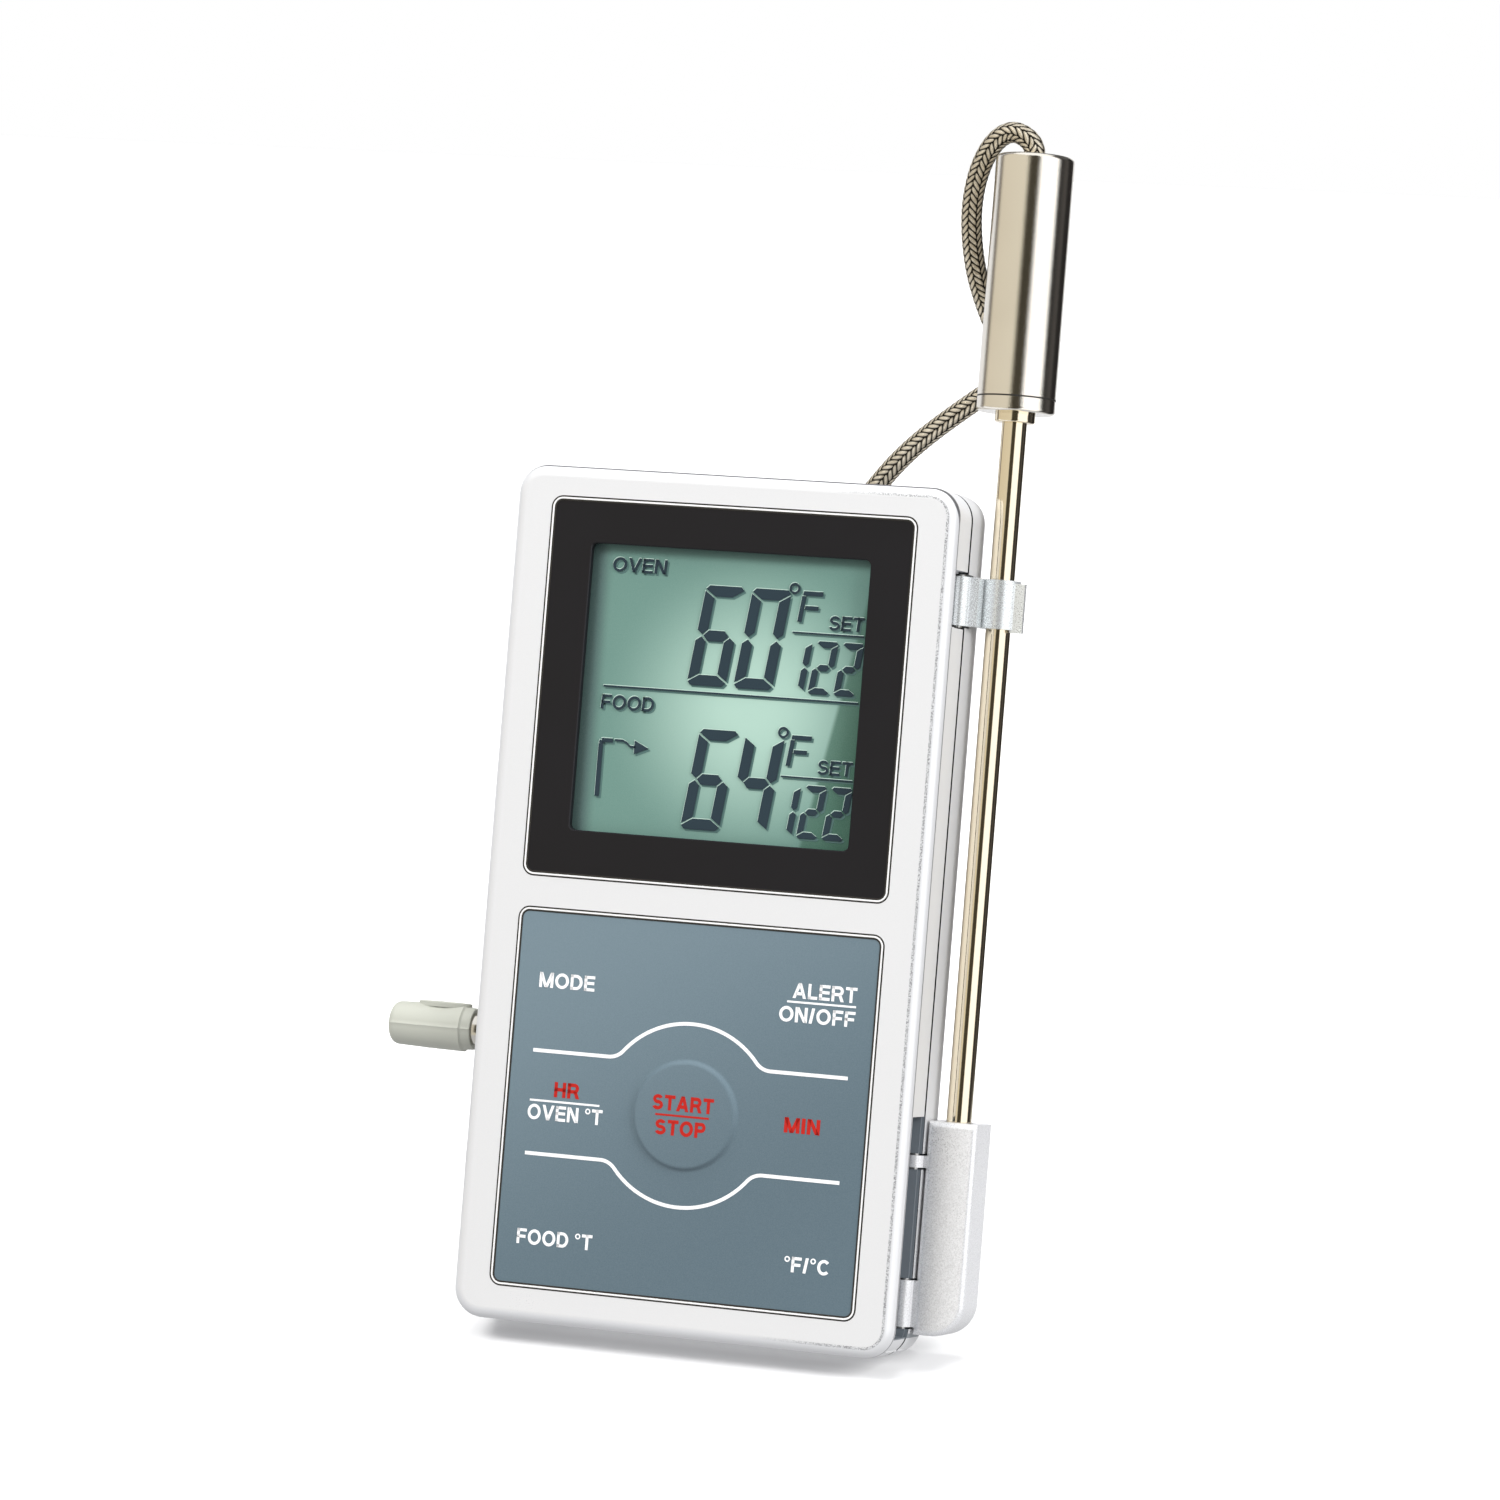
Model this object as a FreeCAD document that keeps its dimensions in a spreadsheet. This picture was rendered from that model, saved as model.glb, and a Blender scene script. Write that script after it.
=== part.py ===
import FreeCAD, Part

import math
import os
import re

import Sketcher
from FreeCAD import Placement, Rotation, Vector

# Digital probe thermometer: a flat case with a display and a membrane keypad, which leans
# back on a fold-out stand and holds a steel probe beside it in a swinging pocket and clip.
#
# Everything is modelled upright in the case's own frame and then leaned back at the end:
# x runs to the right, y from the front face backwards, z upwards from the bottom edge.
# The placed parts stand on z = 0 with the origin under the middle of the object.

DIMENSIONS = {
    # Case
    "case_width": 70.0,
    "case_height": 130.0,
    "case_depth": 18.0,
    "parting_depth": 8.0,
    "corner_radius": 4.5,
    "wall": 1.8,
    "front_wall": 2.4,
    "rear_wall": 2.0,
    "front_rounding": 1.8,
    "rear_rounding": 3.2,
    "reveal": 0.5,
    # Display
    "plate_width": 57.0,
    "window_height": 56.7,
    "window_middle": 96.45,
    "window_thickness": 1.15,
    "plate_corner": 1.2,
    "plate_gap": 0.35,
    "view_width": 46.0,
    "view_height": 45.4,
    "view_middle": 96.7,
    "lcd_width": 49.6,
    "lcd_height": 49.2,
    "lcd_front": 2.55,
    "lcd_thickness": 2.2,
    "board_front": 6.35,
    "board_thickness": 1.2,
    # Keypad
    "film_height": 56.5,
    "film_middle": 34.05,
    "film_thickness": 0.45,
    "key_column": 19.5,
    "key_row_top": 51.8,
    "key_row_middle": 33.4,
    "key_row_bottom": 12.9,
    "key_radius": 4.3,
    "start_key_radius": 8.2,
    "start_dome_height": 0.8,
    "key_front": 0.65,
    "key_thickness": 1.3,
    "key_clearance": 0.3,
    "key_board_front": 2.95,
    # Power
    "cell_radius": 5.1,
    "cell_length": 43.2,
    "cell_bottom": 21.0,
    "cell_depth": 10.0,
    "door_width": 15.0,
    "door_height": 53.0,
    "door_middle": 43.0,
    "door_thickness": 1.2,
    # Stand
    "stand_width": 44.0,
    "stand_bar": 5.8,
    "stand_thickness": 1.8,
    "stand_axis_height": 84.0,
    "stand_axis_depth": 16.3,
    "stand_foot_height": 4.0,
    "stand_clearance": 0.3,
    # Hinge of the pocket and the clip
    "hinge_x": 33.6,
    "hinge_y": 9.4,
    "hinge_pin_radius": 0.75,
    "knuckle_radius": 1.4,
    "knuckle_room": 2.2,
    # Probe
    "probe_x": 38.8,
    "probe_y": 13.6,
    "stem_radius": 1.9,
    "stem_bore": 1.5,
    "stem_bottom": 6.5,
    "stem_point": 6.0,
    "collar_radius": 3.05,
    "collar_bottom": 141.2,
    "handle_radius": 5.95,
    "handle_bottom": 142.7,
    "handle_seam": 144.9,
    "handle_top": 181.6,
    "handle_wall": 0.8,
    # Probe pocket
    "pocket_left": 35.3,
    "pocket_width": 7.7,
    "pocket_front": 9.2,
    "pocket_depth": 8.4,
    "pocket_bottom": 3.6,
    "pocket_height": 32.1,
    "pocket_corner": 5.0,
    # Jack, plug and cable
    "jack_y": 9.0,
    "jack_z": 43.2,
    "plug_pin_radius": 1.75,
    "plug_radius": 3.6,
    "plug_x": -45.4,
    "boot_length": 14.0,
    "cable_radius": 1.6,
    # How the object stands
    "lean": 18.0,
    "origin_x": 4.88,
    "origin_y": 37.53,
}

document = FreeCAD.newDocument("ProbeThermometer")
sheet = document.addObject("Spreadsheet::Sheet", "Dims")
for row, (alias, value) in enumerate(DIMENSIONS.items(), start=1):
    sheet.set(f"A{row}", alias)
    sheet.set(f"B{row}", str(value))
    sheet.setAlias(f"B{row}", alias)
document.recompute()

FRONT_TO_BACK = Rotation(Vector(1, 0, 0), -90)
LEFT_TO_RIGHT = Rotation(Vector(0, 1, 0), 90)
UPWARDS = Rotation()
sub_parts = {}


def size(alias):
    """The driving dimension as a number."""
    return float(sheet.get(alias))


def bind(feature, **expressions):
    """Tie properties to the sheet; words such as case_width stand for its cells."""
    for name, expression in expressions.items():
        feature.setExpression(name.replace("__", "."), in_cells(expression))


def in_cells(expression):
    """Write a sum of aliases and numbers as an expression of the sheet's cells."""
    return re.sub(r"[a-z_]+", lambda word: "Dims." + word.group(), str(expression))


def place(feature, corner, rotation=UPWARDS):
    """Put a feature's own origin at a corner or centre given as three expressions."""
    feature.Placement = Placement(Vector(), rotation)
    for axis, expression in zip("xyz", corner):
        feature.setExpression(f".Placement.Base.{axis}", in_cells(expression))


def block(name, corner, extent):
    """A box from its lowest corner and its three extents."""
    box = document.addObject("Part::Box", name)
    place(box, corner)
    bind(box, Length=extent[0], Width=extent[1], Height=extent[2])
    return box


def rod(name, centre, radius, length, rotation=UPWARDS):
    """A cylinder from the centre of its first end."""
    cylinder = document.addObject("Part::Cylinder", name)
    place(cylinder, centre, rotation)
    bind(cylinder, Radius=radius, Height=length)
    return cylinder


def taper(name, centre, first_radius, last_radius, length, rotation=UPWARDS):
    """A cone frustum from the centre of its first end."""
    cone = document.addObject("Part::Cone", name)
    place(cone, centre, rotation)
    bind(cone, Radius1=first_radius, Radius2=last_radius, Height=length)
    return cone


def fused(name, pieces):
    union = document.addObject("Part::MultiFuse", name)
    union.Shapes = pieces
    return union


def grouped(name, pieces):
    group = document.addObject("Part::Compound", name)
    group.Links = pieces
    return group


def cut(name, base, tools):
    """The base with one tool, or several tools fused, taken away."""
    difference = document.addObject("Part::Cut", name)
    difference.Base = base
    difference.Tool = tools[0] if len(tools) == 1 else fused(name + "_tools", tools)
    return difference


def rounded(name, base, radius, wanted):
    """Fillet the edges of a Part feature that the test picks out."""
    document.recompute()
    fillet = document.addObject("Part::Fillet", name)
    fillet.Base = base
    edges = enumerate(base.Shape.Edges, start=1)
    fillet.Edges = [(number, radius, radius) for number, edge in edges if wanted(edge.BoundBox)]
    return fillet


def sub_part(label, feature, body="case"):
    """Register a finished piece under its node name and the body that it moves with."""
    if feature.isDerivedFrom("PartDesign::Body"):
        piece = feature
    else:
        piece = document.addObject("Part::Refine", label)
        piece.Source = feature
    piece.Label = label
    sub_parts[label] = (piece, body)


# PartDesign helpers: sketches on the body's front-facing plane, set back by a depth.


def front_sketch(body, name, depth):
    plane = next(item for item in body.Origin.OriginFeatures if item.Role == "XZ_Plane")
    sketch = body.newObject("Sketcher::SketchObject", name)
    sketch.AttachmentSupport = [(plane, "")]
    sketch.MapMode = "FlatFace"
    sketch.setExpression(".AttachmentOffset.Base.z", "-(" + in_cells(depth) + ")")
    return sketch


def draw_rectangle(sketch, width, height, middle, radius):
    """A rounded rectangle centred on x = 0 whose sizes follow the sheet."""
    half_width = evaluate(width) / 2
    half_height = evaluate(height) / 2
    middle_height = evaluate(middle)
    corner = evaluate(radius)
    inner_x = half_width - corner
    inner_z = half_height - corner
    first = sketch.GeometryCount
    corners = [(1, -1, -90), (1, 1, 0), (-1, 1, 90), (-1, -1, 180)]
    for side, end, start_angle in corners:
        centre = Vector(side * inner_x, middle_height + end * inner_z, 0)
        circle = Part.Circle(centre, Vector(0, 0, 1), corner)
        start = math.radians(start_angle)
        stop = start + math.pi / 2
        sketch.addGeometry(Part.ArcOfCircle(circle, start, stop), False)
    arcs = sketch.Geometry[first:first + 4]
    for arc, following in zip(arcs, arcs[1:] + arcs[:1]):
        sketch.addGeometry(Part.LineSegment(arc.EndPoint, following.StartPoint), False)
    for number in range(4):
        arc = first + number
        line = first + 4 + number
        following = first + (number + 1) % 4
        sketch.addConstraint(Sketcher.Constraint("Tangent", arc, 2, line, 1))
        sketch.addConstraint(Sketcher.Constraint("Tangent", line, 2, following, 1))
    right, top, left, bottom = range(first + 4, first + 8)
    sketch.addConstraint(Sketcher.Constraint("Vertical", right))
    sketch.addConstraint(Sketcher.Constraint("Horizontal", top))
    for number in range(1, 4):
        sketch.addConstraint(Sketcher.Constraint("Equal", first, first + number))
    driving = [
        (Sketcher.Constraint("Radius", first, corner), radius),
        (Sketcher.Constraint("DistanceX", -1, 1, right, 1, half_width), f"( {width} ) / 2"),
        (Sketcher.Constraint("DistanceX", left, 1, right, 1, 2 * half_width), width),
        (Sketcher.Constraint("DistanceY", bottom, 1, top, 1, 2 * half_height), height),
        (Sketcher.Constraint("DistanceY", -1, 1, top, 1, middle_height + half_height),
         f"{middle} + ( {height} ) / 2"),
    ]
    for constraint, expression in driving:
        index = sketch.addConstraint(constraint)
        sketch.setExpression(f"Constraints[{index}]", in_cells(expression))


def evaluate(expression):
    """The number that an expression of aliases stands for."""
    cell = document.getObject("Dims")
    return float(cell.evalExpression(in_cells(expression)))


def draw_circle(sketch, x, z, radius):
    """A circle whose centre and radius follow the sheet."""
    numbers = [evaluate(text) for text in (x, z, radius)]
    index = sketch.addGeometry(
        Part.Circle(Vector(numbers[0], numbers[1], 0), Vector(0, 0, 1), numbers[2]), False)
    driving = [
        (Sketcher.Constraint("DistanceX", -1, 1, index, 3, numbers[0]), x),
        (Sketcher.Constraint("DistanceY", -1, 1, index, 3, numbers[1]), z),
        (Sketcher.Constraint("Radius", index, numbers[2]), radius),
    ]
    for constraint, text in driving:
        number = sketch.addConstraint(constraint)
        sketch.setExpression(f"Constraints[{number}]", in_cells(text))


def pad(body, name, sketch, length):
    """Thicken a front-facing sketch backwards."""
    feature = body.newObject("PartDesign::Pad", name)
    feature.Profile = sketch
    feature.Reversed = True
    bind(feature, Length=length)
    return feature


def pocket(body, name, sketch, depth, forwards=False):
    """Cut a front-facing sketch backwards, or forwards from the back."""
    feature = body.newObject("PartDesign::Pocket", name)
    feature.Profile = sketch
    feature.Reversed = forwards
    bind(feature, Length=depth)
    return feature


def body_block(body, name, corner, extent, kind="Additive"):
    feature = body.newObject(f"PartDesign::{kind}Box", name)
    place(feature, corner)
    bind(feature, Length=extent[0], Width=extent[1], Height=extent[2])
    return feature


def body_rod(body, name, centre, radius, length, rotation=FRONT_TO_BACK, kind="Additive"):
    feature = body.newObject(f"PartDesign::{kind}Cylinder", name)
    place(feature, centre, rotation)
    bind(feature, Radius=radius, Height=length)
    return feature


def body_fillet(body, name, base, radius, wanted):
    document.recompute()
    feature = body.newObject("PartDesign::Fillet", name)
    edges = enumerate(base.Shape.Edges, start=1)
    feature.Base = (base, [f"Edge{number}" for number, edge in edges if wanted(edge.BoundBox)])
    bind(feature, Radius=radius)
    return feature


def flat_at(depth):
    """Test for edges that lie in the plane y = depth."""
    return lambda box: abs(box.YMin - depth) < 1e-4 and abs(box.YMax - depth) < 1e-4


def corner_arcs(points):
    """Straight runs joined by tangent arcs, as large as the shorter run allows."""
    edges = []
    radii = []
    reached = points[0]
    for before, corner, after in zip(points, points[1:], points[2:]):
        incoming = (corner - before).normalize()
        outgoing = (after - corner).normalize()
        half_turn = incoming.getAngle(outgoing) / 2
        setback = 0.45 * min(corner.distanceToPoint(before), corner.distanceToPoint(after))
        radius = setback / math.tan(half_turn)
        inward = (outgoing - incoming).normalize()
        start = corner - incoming * setback
        middle = corner + inward * (math.hypot(radius, setback) - radius)
        end = corner + outgoing * setback
        edges.append(Part.LineSegment(reached, start).toShape())
        edges.append(Part.Arc(start, middle, end).toShape())
        radii.append(radius)
        reached = end
    edges.append(Part.LineSegment(reached, points[-1]).toShape())
    return Part.Wire(edges), radii


def tube_along(label, points, tube_radius):
    """A round solid that follows the points with rounded corners."""
    spine, radii = corner_arcs(points)
    section = Part.Circle(points[0], points[1] - points[0], tube_radius).toShape()
    tube = document.addObject("Part::Feature", label)
    tube.Shape = spine.makePipeShell([Part.Wire([section])], True, False)
    expected = math.pi * tube_radius ** 2 * spine.Length
    print(f"{label}: length {spine.Length:.1f} mm, volume ratio "
          f"{tube.Shape.Volume / expected:.4f}, "
          f"radii {', '.join(f'{radius:.1f}' for radius in radii)}")
    return tube


# The seven keys: name, column (-1 left, 0 middle, 1 right) and row.
KEYS = {
    "mode_key": (-1, "key_row_top"),
    "alert_key": (1, "key_row_top"),
    "hour_key": (-1, "key_row_middle"),
    "start_stop_key": (0, "key_row_middle"),
    "minute_key": (1, "key_row_middle"),
    "food_key": (-1, "key_row_bottom"),
    "unit_key": (1, "key_row_bottom"),
}

# A point on each hinge's axis, printed where it stands.
HINGE_POINTS = {
    "pocket and clip hinge": ("hinge_x", "hinge_y", "pocket_bottom"),
    "stand hinge": ("0", "stand_axis_depth", "stand_axis_height"),
}

# Bottom and length of each knuckle on the hinge in the right side of the case.
POCKET_KNUCKLES = [("4.7", "7.0"), ("28.6", "1.8")]
CLIP_KNUCKLE = ("110.0", "7.4")
SCREWS = [(side, height) for side in (-1, 1) for height in ("17.0", "121.0")]
SCREW_COLUMN = "29.4"

# The spring under the battery.
SPRING_RADIUS = 2.7
SPRING_WIRE = 0.25
SPRING_TURNS = 3
SPRING_PITCH = 0.85
SPRING_BOTTOM = 17.95


def key_place(name):
    column, key_row = KEYS[name]
    return f"{column} * key_column", key_row


def key_size(name, margin="0"):
    return f"{'start_key_radius' if name == 'start_stop_key' else 'key_radius'} + {margin}"


def cut_knuckle_windows(body):
    """Room for the knuckles, through the right wall where the two shells meet."""
    for number, (bottom, height) in enumerate([*POCKET_KNUCKLES, CLIP_KNUCKLE]):
        body_rod(body, f"{body.Name}_window{number}",
                 ("hinge_x", "hinge_y", f"{bottom} - key_clearance"),
                 "knuckle_room", f"{height} + 2 * key_clearance", UPWARDS, "Subtractive")


def cut_jack_hole(body):
    body_rod(body, body.Name + "_jack_hole", ("-case_width / 2 - 1", "jack_y", "jack_z"),
             "2.6", "5.0", LEFT_TO_RIGHT, "Subtractive")


def make_front_shell():
    body = document.addObject("PartDesign::Body", "front_shell_body")
    outline = front_sketch(body, "front_outline", "0")
    draw_rectangle(outline, "case_width", "case_height", "case_height / 2", "corner_radius")
    shell = pad(body, "front_block", outline, "parting_depth")
    body_fillet(body, "front_rounded", shell, "front_rounding", flat_at(0))
    inside = front_sketch(body, "front_inside", "parting_depth")
    draw_rectangle(inside, "case_width - 2 * wall", "case_height - 2 * wall",
                   "case_height / 2", "corner_radius - wall")
    pocket(body, "front_hollow", inside, "parting_depth - front_wall", forwards=True)

    window_seat = front_sketch(body, "window_seat", "0")
    draw_rectangle(window_seat, "plate_width + 2 * plate_gap", "window_height + 2 * plate_gap",
                   "window_middle", "plate_corner")
    pocket(body, "window_recess", window_seat, "window_thickness + 0.05")
    film_seat = front_sketch(body, "film_seat", "0")
    draw_rectangle(film_seat, "plate_width + 2 * plate_gap", "film_height + 2 * plate_gap",
                   "film_middle", "plate_corner")
    pocket(body, "film_recess", film_seat, "film_thickness + 0.1")
    view = front_sketch(body, "view", "0")
    draw_rectangle(view, "view_width", "view_height", "view_middle", "1.0")
    pocket(body, "view_opening", view, "front_wall")
    holes = front_sketch(body, "key_holes", "0")
    for name in KEYS:
        draw_circle(holes, *key_place(name), key_size(name, "key_clearance"))
    pocket(body, "key_openings", holes, "front_wall")

    # Thicker right wall behind the pocket's recess and the clip's scoop.
    body_block(body, "recess_backing", ("31.2", "front_wall", "1.0"),
               ("2.4", "parting_depth - front_wall", "38.0"))
    body_block(body, "scoop_backing", ("31.2", "front_wall", "107.4"),
               ("2.4", "parting_depth - front_wall", "12.4"))
    for number, (side, height) in enumerate(SCREWS):
        centre = (f"{side} * {SCREW_COLUMN}", "front_wall - 0.1", height)
        body_rod(body, f"front_boss{number}", centre, "2.3", "parting_depth - front_wall + 0.1")
    body_block(body, "pocket_recess", ("33.0", "front_rounding + 0.1", "3.2"),
               ("4.0", "parting_depth", "33.1"), "Subtractive")
    body_rod(body, "clip_scoop", ("38.5", "5.6", "109.4"), "5.4", "8.6", UPWARDS, "Subtractive")
    for number, (side, height) in enumerate(SCREWS):
        centre = (f"{side} * {SCREW_COLUMN}", "3.4", height)
        body_rod(body, f"front_pilot{number}", centre, "0.9", "6.0", kind="Subtractive")
    cut_knuckle_windows(body)
    cut_jack_hole(body)
    sub_part("front_shell", body)


def make_rear_shell():
    body = document.addObject("PartDesign::Body", "rear_shell_body")
    step = front_sketch(body, "rear_step", "parting_depth")
    draw_rectangle(step, "case_width - 2 * reveal", "case_height - 2 * reveal",
                   "case_height / 2", "corner_radius - reveal")
    pad(body, "rear_lip", step, "reveal + 1.0")
    outline = front_sketch(body, "rear_outline", "parting_depth + reveal")
    draw_rectangle(outline, "case_width", "case_height", "case_height / 2", "corner_radius")
    shell = pad(body, "rear_block", outline, "case_depth - parting_depth - reveal")
    body_fillet(body, "rear_rounded", shell, "rear_rounding", flat_at(size("case_depth")))
    inside = front_sketch(body, "rear_inside", "parting_depth")
    draw_rectangle(inside, "case_width - 2 * wall", "case_height - 2 * wall",
                   "case_height / 2", "corner_radius - wall")
    pocket(body, "rear_hollow", inside, "case_depth - parting_depth - rear_wall")

    # Ribs and pads inside: under the stand's recess, along the hinge, round the cell.
    thick_from = "13.4"
    thick = f"case_depth - rear_wall - {thick_from} + 0.1"
    for side, name in ((-1, "left"), (1, "right")):
        body_block(body, f"stand_pad_{name}", (f"{side} * 19.1 - 5.0", thick_from, "2.4"),
                   ("10.0", thick, "86.0"))
        body_block(body, f"cell_wall_{name}", (f"{side} * 6.4 - 0.6", "parting_depth", "16.6"),
                   ("1.2", "case_depth - rear_wall - parting_depth + 0.1", "52.8"))
    body_block(body, "stand_pad_top", ("-20.0", thick_from, "80.4"), ("40.0", thick, "8.0"))
    body_block(body, "stand_pad_foot", ("-20.0", thick_from, "2.4"), ("40.0", thick, "9.4"))
    for height, name in (("15.8", "low"), ("67.8", "high")):
        body_block(body, f"cell_end_{name}", ("-6.4", "parting_depth", height),
                   ("12.8", "case_depth - rear_wall - parting_depth + 0.1", "1.2"))
    body_block(body, "hinge_rib_low", ("30.9", "parting_depth", "1.0"), ("2.6", "4.0", "35.0"))
    body_block(body, "hinge_rib_high", ("30.9", "parting_depth", "106.8"),
               ("2.6", "4.0", "13.6"))
    for number, (side, height) in enumerate(SCREWS):
        centre = (f"{side} * {SCREW_COLUMN}", "parting_depth", height)
        body_rod(body, f"rear_boss{number}", centre, "2.3",
                 "case_depth - rear_wall - parting_depth + 0.1")
    for side, name in ((-1, "left"), (1, "right")):
        body_rod(body, f"magnet_boss_{name}", (f"{side} * 20.0", "14.6", "106.0"), "7.4", "1.5")

    channel = front_sketch(body, "stand_channel", "case_depth")
    draw_rectangle(channel, "stand_width + 2 * stand_clearance",
                   "stand_axis_height + 2.2 - stand_foot_height + 2 * stand_clearance",
                   "( stand_axis_height + 2.2 + stand_foot_height ) / 2", "0.5")
    draw_rectangle(channel, "stand_width - 2 * stand_bar - 2 * stand_clearance",
                   "stand_axis_height - 2.2 - stand_foot_height - stand_bar - "
                   "2 * stand_clearance",
                   "( stand_axis_height - 2.2 + stand_foot_height + stand_bar ) / 2", "0.5")
    pocket(body, "stand_recess", channel, "2.5", forwards=True)
    body_rod(body, "stand_hinge_room",
             ("-stand_width / 2 - stand_clearance", "stand_axis_depth", "stand_axis_height"),
             "1.8", "stand_width + 2 * stand_clearance", LEFT_TO_RIGHT, "Subtractive")
    body_rod(body, "stand_pin_hole", ("-24.2", "stand_axis_depth", "stand_axis_height"),
             "0.8", "48.4", LEFT_TO_RIGHT, "Subtractive")
    door_seat = front_sketch(body, "door_seat", "case_depth")
    draw_rectangle(door_seat, "door_width + 0.6", "door_height + 0.6", "door_middle", "1.5")
    pocket(body, "door_recess", door_seat, "door_thickness + 0.1", forwards=True)
    bay = front_sketch(body, "cell_bay", "case_depth")
    draw_rectangle(bay, "11.6", "door_height - 2.4", "door_middle - 0.6", "0.6")
    pocket(body, "cell_opening", bay, "3.0", forwards=True)
    for side, name in ((-1, "left"), (1, "right")):
        body_rod(body, f"magnet_seat_{name}", (f"{side} * 20.0", "16.0", "106.0"),
                 "6.1", "3.0", kind="Subtractive")
    for number, (side, height) in enumerate(SCREWS):
        centre = (f"{side} * {SCREW_COLUMN}", "parting_depth - 1.0", height)
        body_rod(body, f"screw_way{number}", centre, "1.3", "11.0", kind="Subtractive")
        sink = (f"{side} * {SCREW_COLUMN}", "case_depth - 1.5", height)
        body_rod(body, f"screw_sink{number}", sink, "2.1", "2.0", kind="Subtractive")
    # Keyhole for hanging the case on a hook, and the buzzer's sound holes.
    body_rod(body, "keyhole_head", ("0", "15.0", "114.0"), "3.6", "4.0", kind="Subtractive")
    body_block(body, "keyhole_slot", ("-1.8", "15.0", "114.0"), ("3.6", "4.0", "7.0"),
               "Subtractive")
    for number in range(6):
        angle = math.radians(60 * number)
        centre = (f"{3.2 * math.cos(angle):.4f}", "15.0", f"{98.0 + 3.2 * math.sin(angle):.4f}")
        body_rod(body, f"sound_hole{number}", centre, "0.8", "4.0", kind="Subtractive")
    body_rod(body, "sound_hole_middle", ("0", "15.0", "98.0"), "0.8", "4.0",
             kind="Subtractive")
    body_rod(body, "hinge_pin_hole_low", ("hinge_x", "hinge_y", "2.4"), "0.8", "30.8",
             UPWARDS, "Subtractive")
    body_rod(body, "hinge_pin_hole_high", ("hinge_x", "hinge_y", "107.8"), "0.8", "11.8",
             UPWARDS, "Subtractive")
    cut_knuckle_windows(body)
    cut_jack_hole(body)
    sub_part("rear_shell", body)


def make_plate(label, width, height, middle, radius, front, thickness):
    """A flat rounded plate facing the front."""
    body = document.addObject("PartDesign::Body", label + "_body")
    outline = front_sketch(body, label + "_outline", front)
    draw_rectangle(outline, width, height, middle, radius)
    pad(body, label + "_plate", outline, thickness)
    return body


def make_display():
    sub_part("display_window", make_plate("display_window", "plate_width", "window_height",
                                          "window_middle", "plate_corner", "0.05",
                                          "window_thickness"))
    sub_part("lcd_panel", make_plate("lcd_panel", "lcd_width", "lcd_height", "view_middle",
                                     "0.4", "lcd_front", "lcd_thickness"))
    frame = make_plate("lcd_frame", "lcd_width + 3.4", "lcd_height + 3.4", "view_middle",
                       "1.0", "lcd_front", "board_front - lcd_front - 0.05")
    opening = front_sketch(frame, "lcd_frame_opening", "lcd_front")
    draw_rectangle(opening, "lcd_width + 0.3", "lcd_height + 0.3", "view_middle", "0.5")
    pocket(frame, "lcd_frame_hole", opening, "5.0")
    sub_part("lcd_frame", frame)
    strips = [block(f"strip{number}", ("-23.0", "lcd_front + lcd_thickness + 0.02", height),
                    ("46.0", "board_front - lcd_front - lcd_thickness - 0.04", "2.2"))
              for number, height in enumerate(("73.0", "118.2"))]
    sub_part("connector_strips", grouped("connector_strips_group", strips))


def make_boards():
    sub_part("main_board", make_plate("main_board", "53.0", "58.0", "view_middle", "1.0",
                                      "board_front", "board_thickness"))
    chip = rod("chip_blob", ("-9.0", "board_front + board_thickness", "92.0"), "5.0", "1.5",
               FRONT_TO_BACK)
    top = size("board_front") + size("board_thickness") + 1.5
    sub_part("controller_chip", rounded("chip_rounded", chip, 1.2, flat_at(top)))
    sub_part("quartz_crystal",
             rod("crystal_can", ("13.0", "board_front + board_thickness + 1.05", "78.0"),
                 "1.0", "6.0"))
    board = make_plate("key_board", "52.0", "56.0", "film_middle", "1.0", "key_board_front",
                       "1.0")
    sub_part("key_board", board)
    ribbon = [
        block("ribbon_low", ("8.0", "key_board_front + 1.0", "58.0"), ("12.0", "0.3", "3.4")),
        block("ribbon_rise", ("8.0", "key_board_front + 1.0", "61.4"),
              ("12.0", "board_front + board_thickness - key_board_front - 0.7", "0.3")),
        block("ribbon_up", ("8.0", "board_front + board_thickness", "61.4"),
              ("12.0", "0.3", "11.0")),
    ]
    sub_part("ribbon_cable", fused("ribbon_bent", ribbon))
    buzzer_front = "12.6"
    buzzer = rod("buzzer_cup", ("0", buzzer_front, "98.0"), "9.0", "3.3", FRONT_TO_BACK)
    sound = rod("buzzer_port", ("0", "14.8", "98.0"), "5.0", "2.0", FRONT_TO_BACK)
    sub_part("buzzer_cup", cut("buzzer", buzzer, [sound]))
    sub_part("buzzer_disc", rod("buzzer_plate", ("0", "12.2", "98.0"), "8.6", "0.35",
                                FRONT_TO_BACK))


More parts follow.
